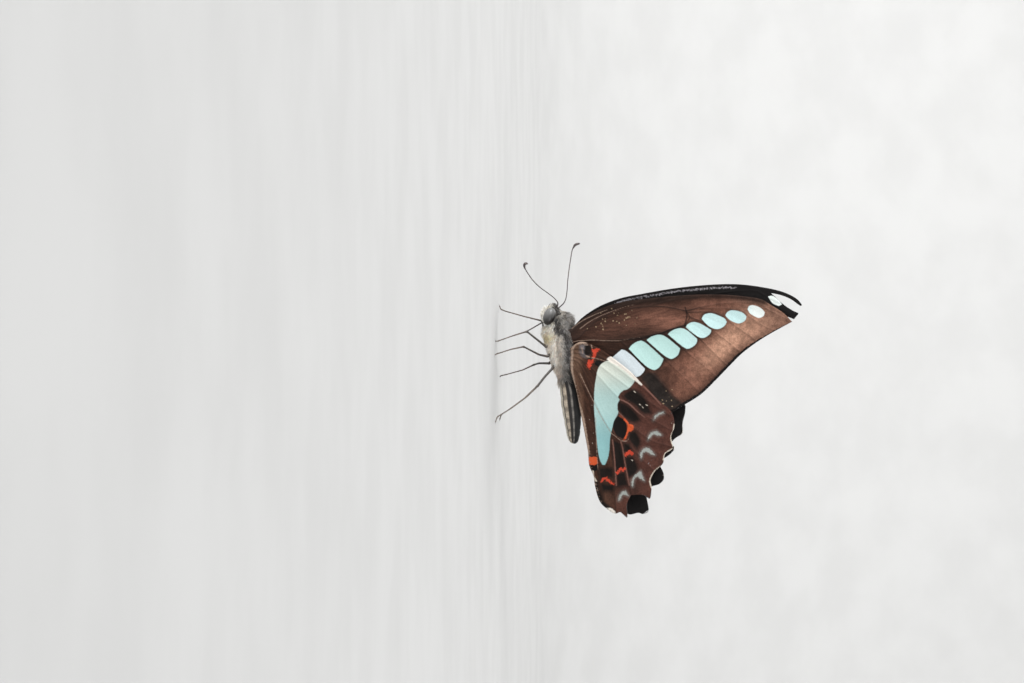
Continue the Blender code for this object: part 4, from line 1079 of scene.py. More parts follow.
# Along this seam, dark hair and painted shade of the wing roots are laid together as one dark band.
DARK_SEAM_AND_SHADE = np.array([(-12.8, 10.9), (-9.5, 11.3), (-8.3, 12.6), (-6.9, 13.15), (-5.4, 13.2), (-4.1, 13.05),
                      (-2.4, 13.4)])
EYE_MIDDLE = np.array((1.3, -11.6, 9.75))
EYE_HALF = np.array((1.25, 1.1, 1.68))
EYE_TURN = math.radians(68.0)


def in_eye(points, grow):
    """Where a point lies inside either eye's ellipsoid, grown by some millimetres."""
    x, y, z = (np.stack([np.abs(points[:, 0]), points[:, 1], points[:, 2]], axis=1) - EYE_MIDDLE).T
    c, s = math.cos(EYE_TURN), math.sin(EYE_TURN)
    turned = np.stack([x, c * y + s * z, c * z - s * y], axis=1)
    return ((turned / (EYE_HALF + grow)) ** 2).sum(1) < 1


def abdomen_colour(along, around):
    """Stripes by height: the share of the way up from belly to back, as the side view shows it."""
    height = 0.5 - 0.5 * np.cos(2 * math.pi * around)
    fold = (along - WAIST) / (TAIL - WAIST) * SEGMENTS
    dashes = smoothstep(0.15, 0.35, fold - np.floor(fold)) * smoothstep(0.95, 0.75, fold - np.floor(fold))
    colour = blend(BELLY_CREAM, HAIR_DARK * 1.6, smoothstep(0.09, 0.12, height))
    colour = blend(colour, FLANK_BEIGE * (0.75 + 0.75 * dashes[:, None]), smoothstep(0.14, 0.17, height))
    colour = blend(colour, HAIR_DARK * 0.35, smoothstep(0.31, 0.36, height))
    colour = blend(colour, LINE_GREY * 0.6, smoothstep(0.51, 0.54, height) * (0.5 + 0.5 * dashes))
    colour = blend(colour, BACK_BLACK, smoothstep(0.60, 0.64, height))
    return colour


def dark_share(points):
    """How many hairs are dark: most on a seam from the eye past the wing roots, partly painted shade."""
    _, y, z = points.T
    beyond = z - np.interp(y, DARK_SEAM_AND_SHADE[:, 0], DARK_SEAM_AND_SHADE[:, 1])
    # The bell along the seam is partly dark hair and partly painted shade under the wing roots.
    share = 0.05 + 0.34 * smoothstep(-0.6, 0.3, beyond) + 0.66 * bell(beyond + 0.15, 0.62)
    share += 0.45 * smoothstep(-12.7, -13.5, y)
    share *= np.where(in_eye(points, 0.30) & ((y > -10.8) | (z < 9.6)), 0.25, 1.0)
    return np.clip(share, 0.0, 0.97)


def coat_colour(points, along, around, draw=None):
    """One colour for each place. With a draw from 0 to 1, each tuft is pale, dark or a little between."""
    warm = np.exp(-((points[:, 2] - 9.6) / 1.0) ** 2 - ((points[:, 1] + 8.2) / 0.9) ** 2)
    pale = blend(BREAST_CREAM, WARM_CREAM, 0.8 * warm)
    pale = blend(pale, FACE_CREAM, smoothstep(-9.4, -10.4, points[:, 1]))
    pale = blend(pale, HAIR_BEIGE, smoothstep(-3.6, -1.0, points[:, 1]))
    pale = blend(pale, HAIR_GREY, smoothstep(11.0, 12.6, points[:, 2]))
    share = dark_share(points)
    share = share if draw is None else smoothstep(share + 0.17, share - 0.17, draw)
    fur = blend(pale, HAIR_DARK, share)
    return blend(fur, abdomen_colour(along, around), smoothstep(WAIST - 0.1, WAIST + 0.9, along))


# %% [markdown]
# ## Build the skin
#
# Under the hair the skin is matt and finely pitted. Its unwrap is the simplest one there is: once
# around is the width of the map, and from face to tail is its height.

# %% Make the skin
def coat_finish(name, roughness, speckle_per_mm, depth_mm, sheen=0.12, gloss=0.3):
    """The stored colour with a fine change of tone, matt, with a little sheen of loose hair."""
    finish, tree, shader = new_finish(name, roughness, Sheen_Weight=sheen, Sheen_Roughness=0.5,
                                      Specular_IOR_Level=gloss)
    fleck = ramp(tree, grain(tree, speckle_per_mm), 0.25, 0.75, 0.72, 1.25)
    tree.links.new(toned(tree, read(tree, "coat", colour=True), fleck), shader.inputs["Base Color"])
    bumped(tree, shader, grain(tree, speckle_per_mm * 1.5), depth_mm, 0.5)
    return finish


def around_places(rows, columns, flip):
    """UV places of the corners of a grid that goes around: the last column ends at 1."""
    cells = np.meshgrid(np.arange(rows - 1), np.arange(columns), indexing="ij")
    row, column = (part.ravel() for part in cells)
    u = np.stack([column, column + 1, column + 1, column], axis=1) / columns
    v = np.stack([row, row, row + 1, row + 1], axis=1) / (rows - 1)
    places = np.stack([u, v], axis=-1)
    return (places[:, ::-1] if flip else places).reshape(-1, 2)


def pole_triangles(rows, columns, flip):
    """Fans that close both ends of a grid that goes around, with their UV places."""
    column = np.arange(columns)
    after = (column + 1) % columns
    start = np.stack([after, column, np.full(columns, rows * columns)], axis=1)
    last = (rows - 1) * columns
    end = np.stack([last + column, last + after, np.full(columns, rows * columns + 1)], axis=1)
    across = np.stack([column + 1, column, column + 0.5], axis=1) / columns
    face_places = np.stack([across, np.zeros((columns, 3))], axis=-1)
    tail_places = np.stack([across[:, [1, 0, 2]], np.ones((columns, 3))], axis=-1)
    faces, places = np.concatenate([start, end]), np.concatenate([face_places, tail_places])
    return (faces[:, ::-1], places[:, ::-1].reshape(-1, 2)) if flip else (faces, places.reshape(-1, 2))


def closed_grid(name, grid, flip=False):
    """A closed piece from a grid that goes around, with both ends fanned shut and its own unwrap."""
    rows, columns = grid.shape[:2]
    points = np.concatenate([grid.reshape(-1, 3), [grid[0].mean(axis=0)], [grid[-1].mean(axis=0)]])
    quads = grid_quads(rows, columns, around=True)
    caps, cap_places = pole_triangles(rows, columns, flip)
    piece = mesh_object(name, points, quads[:, ::-1] if flip else quads, caps)
    unwrap(piece, np.concatenate([around_places(rows, columns, flip), cap_places]))
    return piece


def with_poles(values):
    """The values of a grid's points, and the mean of the first and last ring for its poles."""
    flat = values.reshape(len(values) * values.shape[1], -1)
    ends = [values[0].reshape(values.shape[1], -1).mean(0), values[-1].reshape(values.shape[1], -1).mean(0)]
    return np.squeeze(np.concatenate([flat, ends]))


skin = closed_grid("body.skin", BODY, flip=True)
skin_points = with_poles(BODY)
note(skin, "coat", coat_colour(skin_points, with_poles(ALONG), with_poles(AROUND)))
skin.data.materials.append(coat_finish("body_skin", 0.85, 5.0, 0.05))
settle(skin, "thorax_fur", "head", "thorax", "abdomen")

# %% [markdown]
# ## Hair in tufts
#
# Strands of their own would be lost when the model is handed on, so the hair is solid mesh. Each tuft
# is a blade of three sides that leaves the skin steeply, bends over into the lie of the coat, and
# tapers to a point. Thousands are made at once as arrays and joined into a few pieces.

# %% Make many tufts at once
TUFT_STEPS = np.array((0.0, 0.34, 0.7, 1.0))
TUFT_TAPER = np.array((1.0, 0.9, 0.58))
TUFT_QUADS = np.array([(3 * r + k, 3 * r + (k + 1) % 3, 3 * r + 3 + (k + 1) % 3, 3 * r + 3 + k)
                       for r in range(2) for k in range(3)])
TUFT_TRIANGLES = np.array([(6, 7, 9), (7, 8, 9), (8, 6, 9), (0, 2, 1)])
TUFT_CURL = 0.16
ROOT_TONE = 0.84
PATCH = 0.003


def unit(vectors):
    """Each row scaled to length one."""
    return vectors / np.maximum(np.linalg.norm(vectors, axis=-1, keepdims=True), 1e-9)


def tufts(name, roots, normal, lie, length, width, rise, colour, places, finish, slot,
          tip_tone=1.1, sink=0.12):
    """Blades that run from their roots along the lie, rise off the skin and curl a little to one side."""
    count = len(roots)
    lie = unit(lie - normal * (lie * normal).sum(1, keepdims=True))
    side = np.cross(normal, lie)
    curl = random.normal(0.0, TUFT_CURL, count)[:, None, None]
    t = TUFT_STEPS[None, :, None]
    lift = normal[:, None] * rise[:, None, None] * (t - t ** 2 / 2)
    reach = lie[:, None] * t + lift + side[:, None] * curl * t ** 2
    spine = (roots - sink * normal)[:, None] + length[:, None, None] * reach
    turn = random.uniform(0.0, 2 * math.pi, (count, 1)) + np.radians((90, 210, 330))
    ring = side[:, None] * np.cos(turn)[..., None] + normal[:, None] * 0.7 * np.sin(turn)[..., None]
    ring = ring[:, None] * (width[:, None] * TUFT_TAPER)[..., None, None] / 2
    points = np.concatenate([(spine[:, :3, None] + ring).reshape(count, 9, 3), spine[:, 3:]], axis=1)
    first = (np.arange(count) * 10)[:, None, None]
    piece = mesh_object(name, points.reshape(-1, 3), (TUFT_QUADS + first).reshape(-1, 4),
                        (TUFT_TRIANGLES + first).reshape(-1, 3))
    level = np.repeat(TUFT_STEPS, (3, 3, 3, 1))
    tone = (ROOT_TONE + (tip_tone - ROOT_TONE) * level)[None, :, None]
    tone = tone * random.uniform(0.82, 1.12, (count, 1, 1))
    note(piece, "coat", np.minimum(colour[:, None] * tone, 0.97).reshape(-1, 3))
    across = np.tile((-0.5, 0.0, 0.5), 4)[:10]
    local = np.stack([across, level - 0.5], axis=1) * PATCH
    unwrap(piece, (places[:, None] + local).reshape(-1, 2))
    piece.data.materials.append(finish)
    settle(piece, slot)


# %% Scatter roots over a grid
def scatter(grid, density, count):
    """Random places on a grid that goes around, drawn by each cell's area times its density."""
    ahead = np.roll(grid, -1, axis=1)
    along, across = grid[1:] - grid[:-1], ahead[:-1] - grid[:-1]
    cross = np.cross(along, across)
    weight = np.linalg.norm(cross, axis=2) * density[:-1]
    chosen = random.choice(weight.size, count, p=(weight / weight.sum()).ravel())
    row, column = np.unravel_index(chosen, weight.shape)
    down, over = random.uniform(0, 1, (2, count, 1))
    roots = grid[row, column] + along[row, column] * down + across[row, column] * over
    return roots, unit(cross[row, column]), unit(along[row, column]), row, column


LOCK_STRETCH = np.array((1.0, 0.42, 1.0))
LOCKS = 900
TIP_TONE = 1.06


def nearest_lock(roots, locks):
    """For each tuft, the number of the nearest leader. The first few lead, and locks are long along Y."""
    roots = roots * LOCK_STRETCH
    leaders = roots[:locks]
    squares = (leaders ** 2).sum(1)
    parts = np.array_split(roots, 16)
    return np.concatenate([np.argmin(squares - 2 * part @ leaders.T, axis=1) for part in parts])


def lock_draw(lock):
    """A number from 0 to 1 for each tuft, which it has in part from the leader of its lock."""
    draw = random.uniform(0, 1, len(lock))
    return 0.6 * draw[lock] + 0.4 * draw


def lock_tone(colour, lock):
    """Each lock as a whole is a little darker, and a little more tawny, than the next."""
    draw = random.uniform(0, 1, (2, len(lock)))[:, lock]
    shaded = colour * (0.60 + 0.80 * draw[0])[:, None]
    return blend(shaded, shaded * np.array((0.94, 0.80, 0.68)), 0.8 * draw[1] ** 2)


def body_coat(name, density, count, length, width, rise, slot, finish, keep=None, droop=0.0,
              locks=LOCKS, stray=0.13):
    """Tufts on the body that lie back along it, with a droop towards the belly."""
    roots, normal, lie, row, column = scatter(BODY, density, count)
    along, around = ALONG[row, column], AROUND[row, column]
    if keep is not None:
        kept = keep(roots)
        roots, normal, lie, along, around = (part[kept] for part in (roots, normal, lie, along, around))
    count = len(roots)
    scale = length(roots, along, around) if callable(length) else np.full(count, length)
    scale = scale * random.uniform(0.65, 1.25, count)
    lock = nearest_lock(roots, locks) if locks else np.arange(count)
    towards = (roots[lock] - roots) * (0.8 if locks else 0.0)
    lie = lie + np.array((0.0, 0.0, -droop)) + random.normal(0.0, stray, (count, 3))
    lie += towards / scale[:, None]
    colour = coat_colour(roots, along, around, lock_draw(lock))
    if locks:
        colour = lock_tone(colour, lock)
    tufts(name, roots, normal, lie, scale, width * random.uniform(0.7, 1.3, count),
          rise * random.uniform(0.4, 1.6, count), colour, np.stack([around, along / TAIL], axis=1), finish,
          slot, TIP_TONE)


def clear_of_eyes(points):
    """Where no tuft would grow out of an eye."""
    return ~in_eye(points, 0.03)


fur = coat_finish("hair", 0.8, 9.0, 0.01, 0.4, 0.15)
on_thorax = smoothstep(NECK - 0.3, NECK + 0.4, ALONG) * smoothstep(WAIST + 1.0, WAIST - 0.4, ALONG)
on_breast = smoothstep(0.62, 0.45, 0.5 - 0.5 * np.cos(2 * math.pi * AROUND))


def thorax_length(roots, along, around):
    """Longest on the breast, over the waist and under the chin, where it closes the gap below the face."""
    breast = 0.5 + 0.5 * np.cos(2 * math.pi * around)
    chin = np.exp(-((roots[:, 1] + 9.9) / 0.8) ** 2 - ((roots[:, 2] - 9.4) / 0.9) ** 2)
    neck = smoothstep(7.0, 5.0, along) * (1 - breast)
    return 0.76 + 0.42 * breast + 0.25 * smoothstep(8.5, 11.5, along) + 0.5 * chin + 0.3 * neck


COAT_TUFTS = 12200
HEAD_TUFTS = 12000
body_coat("thorax.breast_hair", on_thorax * on_breast, COAT_TUFTS, thorax_length, 0.095, 0.45, "thorax_fur",
          fur, clear_of_eyes, droop=0.3, stray=0.2)
body_coat("thorax.back_hair", on_thorax * (1 - on_breast), COAT_TUFTS, thorax_length, 0.085, 0.8,
          "thorax_fur", fur, clear_of_eyes, droop=0.1, stray=0.3)
on_head = smoothstep(NECK + 0.2, NECK - 0.4, ALONG)
body_coat("head.hair", on_head, HEAD_TUFTS, 0.52, 0.065, 0.9, "head_fur", fur, clear_of_eyes, locks=1000,
          stray=0.25)
flat_scales = coat_finish("abdomen_scales", 0.85, 7.0, 0.01, 0.0, 0.0)
on_abdomen = smoothstep(WAIST, WAIST + 1.2, ALONG)
body_coat("abdomen.scales", on_abdomen, COAT_TUFTS, 0.34, 0.085, 0.16, "abdomen_scales", flat_scales, locks=0)

# %% [markdown]
# ## The fringe of the wings
#
# The wings end in a fringe of narrow scales that stand out past the membrane by a fifth of a
# millimetre. It is black, cream in the notches of the hindwing, and tawny along the fold beside the
# abdomen, where it is longer. The front edge has none.

# %% Make the fringes
FRINGE_STEP = 0.055
FRINGE_BLACK = np.array((0.020, 0.014, 0.012))
FRINGE_CREAM = np.array((0.74, 0.66, 0.55))
FRINGE_TAWNY = np.array((0.30, 0.20, 0.145))


def wing_fringe(name, root, stretch, sheet, side, turn, cream=None, tawny=False):
    """Tufts at equal steps along part of an outline, pointing out of the wing in its own plane."""
    line = through(stretch, 12 * len(stretch))
    count = int(np.linalg.norm(np.diff(line, axis=0), axis=1).sum() / FRINGE_STEP)
    net = evenly(line, count)
    way = unit(np.gradient(net, axis=0))
    out = np.stack([-way[:, 1], way[:, 0]], axis=1)
    place, middle = standing(net, root, sheet, turn)
    turned = out @ rotation(turn)
    roots = np.stack([(middle + random.normal(0.0, 0.02, count)) * side, place[:, 1], place[:, 0]], axis=1)
    lie = np.stack([np.zeros(count), turned[:, 1], turned[:, 0]], axis=1)
    lie += random.normal(0.0, 0.22, (count, 3))
    normal = np.tile((float(side), 0.0, 0.0), (count, 1))
    colour = np.tile(FRINGE_TAWNY if tawny else FRINGE_BLACK, (count, 1))
    if cream is not None:
        colour = blend(colour, FRINGE_CREAM, smoothstep(-0.2, 0.1, strokes(net, cream, 0.5)))
    length = random.uniform(0.16, 0.30, count) * (1.7 if tawny else 1.0)
    tufts(name, roots, normal, lie, length, random.uniform(0.05, 0.085, count),
          random.normal(0.0, 0.15, count), colour, (net + 12.0) / 64.0, fur, "wing_scales", 1.0, sink=0.0)


HINDWING_FOLD = [(5.3, 28.2)] + HINDWING_INNER
for word, side, apex, turn in FORE_SIDES:
    wing_fringe("forewing_" + word + ".fringe", FOREWING_ROOT, apex[-1:] + FOREWING_MARGIN, forewing_sheet,
                side, turn)
for word, side, margin, turn in HIND_SIDES:
    wing_fringe("hindwing_" + word + ".fringe", HINDWING_ROOT, margin, hindwing_sheet, side, turn,
                cream=HINDWING_FRINGE)
for word, side, margin, turn in HIND_SIDES:
    wing_fringe("hindwing_" + word + ".fold_fringe", HINDWING_ROOT, HINDWING_FOLD, hindwing_sheet, side, turn,
                tawny=True)

# %% [markdown]
# ## The hair round the wing roots
#
# The wings hinge on the sides of the thorax, and their stalks are buried in a pad of dark hair. Each
# pad is an oval mound with tufts on it that point back along the body, as the coat beside it does.

# %% A pad of hair over each wing joint
PAD_MIDDLE = np.array((2.35, -5.8, 12.7))
PAD_HALF = np.array((0.66, 3.5, 1.1))
PAD_ROWS, PAD_SIDES = 48, 64
PAD_TILT = 0.08
PAD_TUFTS = 5200
PAD_LOCKS = 380
PAD_LEVEL = NECK + 3.0


def oval_grid(middle, half, turn, rows, sides, side, reach=math.pi):
    """Half sizes times sine and cosine, with its poles looking out and in, then turned about X."""
    polar = np.linspace(0.0, reach, rows)[:, None]
    around = np.linspace(0.0, 2 * math.pi, sides, endpoint=False)[None]
    x = np.broadcast_to(half[0] * np.cos(polar), (rows, sides))
    y, z = half[1] * np.sin(polar) * np.cos(around), half[2] * np.sin(polar) * np.sin(around)
    c, s = math.cos(turn), math.sin(turn)
    place = np.stack([x + middle[0], c * y - s * z + middle[1], s * y + c * z + middle[2]], axis=-1)
    return place * np.array((side, 1.0, 1.0))


def wing_pad(word, side):
    """The mound, and tufts over its outer half that follow the body's lie."""
    grid = oval_grid(PAD_MIDDLE, PAD_HALF, PAD_TILT, PAD_ROWS, PAD_SIDES, side)
    piece = closed_grid("thorax.pad_" + word, grid, flip=side > 0)
    points = with_poles(grid)
    note(piece, "coat", 0.6 * coat_colour(points, np.full(len(points), PAD_LEVEL), np.zeros(len(points))))
    piece.data.materials.append(fur)
    settle(piece, "thorax_fur")
    outer = np.ones((PAD_ROWS, PAD_SIDES)) * (np.arange(PAD_ROWS) < 0.6 * PAD_ROWS)[:, None]
    roots, normal, _, row, column = scatter(grid, outer, PAD_TUFTS)
    normal = normal * side
    count = len(roots)
    lock = nearest_lock(roots, PAD_LOCKS)
    length = random.uniform(0.45, 0.95, count)
    lie = np.array((0.15 * side, 0.8, 0.25)) + random.normal(0.0, 0.24, (count, 3))
    lie += 0.5 * (roots[lock] - roots)
    colour = coat_colour(roots, np.full(count, PAD_LEVEL), np.zeros(count), lock_draw(lock))
    colour = lock_tone(colour, lock)
    places = np.stack([column / PAD_SIDES, row / PAD_ROWS], axis=1)
    tufts("thorax.pad_hair_" + word, roots, normal, lie, length, 0.085 * random.uniform(0.7, 1.3, count),
          random.uniform(0.3, 1.1, count), colour, places, fur, "thorax_fur", TIP_TONE)


wing_pad("left", 1.0)
wing_pad("right", -1.0)

# %% [markdown]
# ## The eyes
#
# A butterfly's eye is a smooth oval made of thousands of tiny lenses. From a step away they are too
# fine to see, and show only as a soft, uneven gloss. Its colour is painted light: pale grey at the front
# and below, on the lit side, and dark behind and above, in painted shade.

# %% Make the eyes
EYE_ROWS, EYE_SIDES = 64, 96
EYE_REACH = 0.62 * math.pi
# Painted light on the eye: dark for its shaded side, pale grey for its lit side.
EYE_SHADED_DARK = (0.005, 0.003, 0.002)
EYE_LIT_GREY = (0.23, 0.23, 0.225)
EYE_FLECK = (0.05, 0.045, 0.045)


def eye_finish():
    """Softly glossy, a fine bump of lenses, and painted light: pale grey on the lit side, dark in shade."""
    finish, tree, shader = new_finish("compound_eye", 0.34, Coat_Weight=0.1, Coat_Roughness=0.18,
                                      Specular_IOR_Level=0.3)
    place = add_node(tree, "ShaderNodeTexCoord").outputs["Object"]
    lens = add_node(tree, "ShaderNodeTexVoronoi", Vector=place, Scale=28.0 / MM, Randomness=0.35)
    colour = mixed(tree, read(tree, "pale"), EYE_SHADED_DARK, EYE_LIT_GREY)
    fleck = mixed(tree, sums(tree, "MULTIPLY", grain(tree, 3.0), 0.35), colour, EYE_FLECK)
    tree.links.new(fleck, shader.inputs["Base Color"])
    bumped(tree, shader, lens.outputs["Distance"], 0.006, 0.35)
    return finish


def eye(word, side, finish):
    """The outer part of an oval, closed behind, painted paler at the front and below, the lit side."""
    grid = oval_grid(EYE_MIDDLE, EYE_HALF, EYE_TURN, EYE_ROWS, EYE_SIDES, side, EYE_REACH)
    piece = closed_grid("eye_" + word + ".lens", grid, flip=side > 0)
    points = with_poles(grid)
    # Painted light: the pale share grows towards the front and below, and falls to painted shade behind.
    forward = -0.85 * (points[:, 1] - EYE_MIDDLE[1]) - 0.45 * (points[:, 2] - EYE_MIDDLE[2])
    note(piece, "pale", smoothstep(-1.0, 1.6, forward))
    piece.data.materials.append(finish)
    settle(piece, "eye", "eye_" + word)


eye_look = eye_finish()
eye("left", 1.0, eye_look)
eye("right", -1.0, eye_look)

# %% [markdown]
# ## Limbs carried along a path
#
# Legs, feelers, palps and the tongue are all tubes: a ring of points is carried along a smooth path,
# and its radius follows the limb. The ring's first direction is passed on from step to step, turned as
# little as the path allows, so that the tube never twists.

# %% Carry a ring along a path
def carried(path, radius, sides, flat=1.0):
    """Rings of points: path + radius * (first * cosine + second * sine), with the frame handed along."""
    tangent = unit(np.gradient(path, axis=0))
    first = np.zeros_like(path)
    way = np.array((1.0, 0.02, 0.03))
    for k, along in enumerate(tangent):
        way = way - along * (way @ along)
        way = way / np.linalg.norm(way)
        first[k] = way
    second = np.cross(tangent, first)
    turn = np.linspace(0.0, 2 * math.pi, sides, endpoint=False)[None, :, None]
    ring = first[:, None] * np.cos(turn) + flat * second[:, None] * np.sin(turn)
    return path[:, None] + np.asarray(radius)[:, None, None] * ring


def rounded_end(left, reach, least):
    """A factor that draws a radius in over the last stretch, as a circle does, down to its least share."""
    return np.sqrt(np.clip(left / reach, 0.0, 1.0)) * (1 - least) + least


def horn_finish(name, colour, pale):
    """Dark horn, paler where the stored number says and where it is worn in places, with a fine bump."""
    finish, tree, shader = new_finish(name, 0.42)
    share = read(tree, "pale")
    worn = ramp(tree, grain(tree, 3.5, 3.0), 0.45, 0.7, 0.0, 0.55)
    base = mixed(tree, share, colour, pale)
    tree.links.new(mixed(tree, worn, base, tuple(1.6 * part for part in pale)), shader.inputs["Base Color"])
    bumped(tree, shader, grain(tree, 11.0), 0.02, 0.6)
    return finish


def limb(name, path, radius, pale, finish, slot, *nodes, sides=14, flat=1.0):
    """A closed tube with a share of paleness at each step, settled on the insect's body."""
    grid = carried(path, radius, sides, flat)
    piece = closed_grid(name, grid)
    note(piece, "pale", with_poles(np.repeat(np.asarray(pale)[:, None], sides, axis=1)))
    piece.data.materials.append(finish)
    settle(piece, slot, *nodes)


# %% [markdown]
# ## The feelers
#
# Each feeler is a thread of some thirty short joints that ends in a slender club. The left one dips
# forward and outward, and the right one is held higher.

# %% Make the feelers
LEFT_FEELER = [(0.45, -12.6, 10.5), (0.45, -13.0, 10.9), (0.7, -14.0, 11.3), (1.4, -14.9, 10.7),
               (2.4, -15.8, 9.6), (3.8, -16.9, 8.1), (5.2, -18.2, 6.8), (6.3, -19.5, 5.9),
               (7.0, -20.4, 5.4), (7.3, -21.0, 5.35), (7.3, -21.2, 5.65), (7.2, -21.1, 6.0)]
RIGHT_FEELER = [(-0.45, -12.6, 10.8), (-0.45, -13.0, 11.2), (-0.8, -14.0, 12.3), (-1.4, -15.0, 12.75),
                (-2.2, -16.5, 12.95), (-3.1, -18.3, 13.05), (-4.0, -20.2, 13.25), (-4.8, -22.0, 13.5),
                (-5.5, -23.9, 13.8), (-5.8, -24.6, 14.1), (-5.9, -25.1, 14.5), (-6.0, -25.3, 15.3)]
FEELER_JOINTS = 34
FEELER_RINGS = 420
FEELER_SHAFT = 0.095
FEELER_FOOT_SWELL = 0.045
FEELER_CLUB_SWELL = 0.155
FEELER_NOTCH = 0.14


def feeler(word, points, finish):
    """Radius: a thin shaft with a notch at each joint, swelling to the club over the last sixth."""
    path = evenly(through(points, 500), FEELER_RINGS)
    share = np.linspace(0.0, 1.0, FEELER_RINGS)
    notch = np.abs(np.sin(math.pi * FEELER_JOINTS * share)) ** 0.5
    radius = FEELER_SHAFT + FEELER_FOOT_SWELL * smoothstep(0.25, 0.0, share)
    radius += FEELER_CLUB_SWELL * smoothstep(0.86, 0.95, share)
    radius *= 1 - FEELER_NOTCH + FEELER_NOTCH * notch
    radius *= rounded_end(1.0 - share, 0.03, 0.02)
    pale = 0.35 * (1 - notch) + 0.25 * smoothstep(0.3, 0.7, share) * smoothstep(0.85, 0.75, share)
    limb("antenna_" + word + ".feeler", path, radius, pale, finish, "dark_horn", "antenna_" + word)


feeler_horn = horn_finish("feeler_horn", (0.030, 0.022, 0.023), (0.10, 0.075, 0.065))
feeler("left", LEFT_FEELER, feeler_horn)
feeler("right", RIGHT_FEELER, feeler_horn)

# %% [markdown]
# ## The legs
#
# A leg has a short hip and trochanter against the breast, a thigh, a shin and a foot of five joints
# that ends in two claws. The thighs are dark. The shins and feet are paler, and thin as wire. Two spurs
# stand near the end of each shin. The right hind leg mirrors the left one.

# %% Make the legs
FOOT_RADIUS = 0.105
LEG_PATHS = {
    "fore_left": [(0.8, -7.0, 10.0), (0.95, -5.9, 9.1), (3.6, -8.8, 5.55), (4.9, -8.1, 3.3), (6.1, -7.3, 1.1),
                  (6.6, -7.0, 0.3), (7.9, -7.0, 0.0)],
    "fore_right": [(-0.8, -6.8, 10.0), (-1.3, -7.2, 8.9), (-3.3, -10.8, 8.15), (-4.8, -11.6, 4.9),
                   (-6.2, -12.6, 1.3), (-6.7, -13.0, 0.3), (-7.7, -13.7, 0.0)],
    "mid_left": [(0.9, -4.9, 10.4), (1.1, -4.2, 9.3), (2.0, -4.5, 7.8), (4.6, -6.0, 5.0), (6.6, -5.5, 2.7),
                 (8.2, -4.9, 0.9), (8.8, -4.7, 0.25), (10.1, -4.5, 0.0)],
    "mid_right": [(-0.9, -4.0, 10.6), (-1.1, -2.9, 9.6), (-3.2, -2.9, 7.6), (-4.4, -2.6, 6.6),
                  (-5.8, -1.6, 4.4), (-7.8, -0.8, 1.5), (-8.8, -0.5, 0.25), (-10.1, -0.3, 0.0)],
    "hind_left": [(0.9, -3.0, 11.0), (1.1, -2.0, 10.2), (2.3, -0.6, 8.9), (3.8, 1.3, 7.4), (5.6, 3.5, 5.1),
                  (7.4, 5.7, 2.1), (8.1, 6.8, 0.3), (8.8, 7.8, 0.0)],
}
LEG_PATHS["hind_right"] = [(-x, y, z) for x, y, z in LEG_PATHS["hind_left"]]
LEG_RADII = {
    7: (0.30, 0.22, 0.16, 0.12, 0.10, 0.10, 0.09),
    8: (0.30, 0.23, 0.19, 0.15, 0.12, 0.10, 0.10, 0.09),
}
LEG_RINGS = 260
HIP_SWELL, KNEE_SWELL, ANKLE_SWELL = 0.05, 0.06, 0.025
SWELL_REACH = 0.28
FOOT_LENGTH = 1.2
FOOT_JOINT = 0.62
FOOT_JOINT_SWELL = 0.018
BRISTLES = 70
BRISTLE_BROWN = (0.045, 0.034, 0.028)
SPUR_ABOVE_ANKLE = 1.5


def leg_path(points):
    """Straight stretches, rounded a little at the knees: each point moves towards its neighbours' mean."""
    line = evenly(np.asarray(points, float), LEG_RINGS)
    for _ in range(14):
        line[1:-1] = 0.5 * line[1:-1] + 0.25 * (line[:-2] + line[2:])
    return line


def leg_bristles(word, path, travelled, radius, knee, ankle):
    """Short bristles along shin and foot, two spurs near the shin's end and two claws that curve down."""
    end = travelled[-1]
    spurs, claws = np.full(2, ankle - SPUR_ABOVE_ANKLE), np.full(2, end - 0.12)
    at = np.concatenate([random.uniform(knee, end - 0.3, BRISTLES), spurs, claws])
    step = np.searchsorted(travelled, at).clip(1, len(path) - 2)
    along = unit(path[step + 1] - path[step - 1])
    turn = random.uniform(0.0, 2 * math.pi, len(at))
    turn[-4:] = (0.6, 2.5, 0.0, math.pi)
    across = unit(np.cross(along, (0.0, 0.0, 1.0)))
    above = np.cross(across, along)
    out = across * np.cos(turn)[:, None] + above * np.sin(turn)[:, None]
    out[-2:, 2] += 0.4
    roots = path[step] + unit(out) * (0.8 * radius[step])[:, None]
    length = np.concatenate([random.uniform(0.12, 0.22, BRISTLES), (0.5, 0.45, 0.42, 0.42)])
    width = np.concatenate([np.full(BRISTLES, 0.028), (0.055, 0.055, 0.075, 0.075)])
    rise = np.concatenate([random.uniform(0.5, 1.0, BRISTLES), (0.5, 0.5, -0.35, -0.35)])
    colour = np.tile(BRISTLE_BROWN, (len(at), 1))
    lie = along + 0.45 * out
    normal = np.concatenate([unit(out[:-2]), np.tile((0.0, 0.0, 1.0), (2, 1))])
    places = np.stack([turn / (2 * math.pi), at / end], axis=1)
    tufts("leg_" + word + ".claws", roots, normal, lie, length, width, rise, colour, places, fur, "dark_horn",
          tip_tone=1.0, sink=0.02)


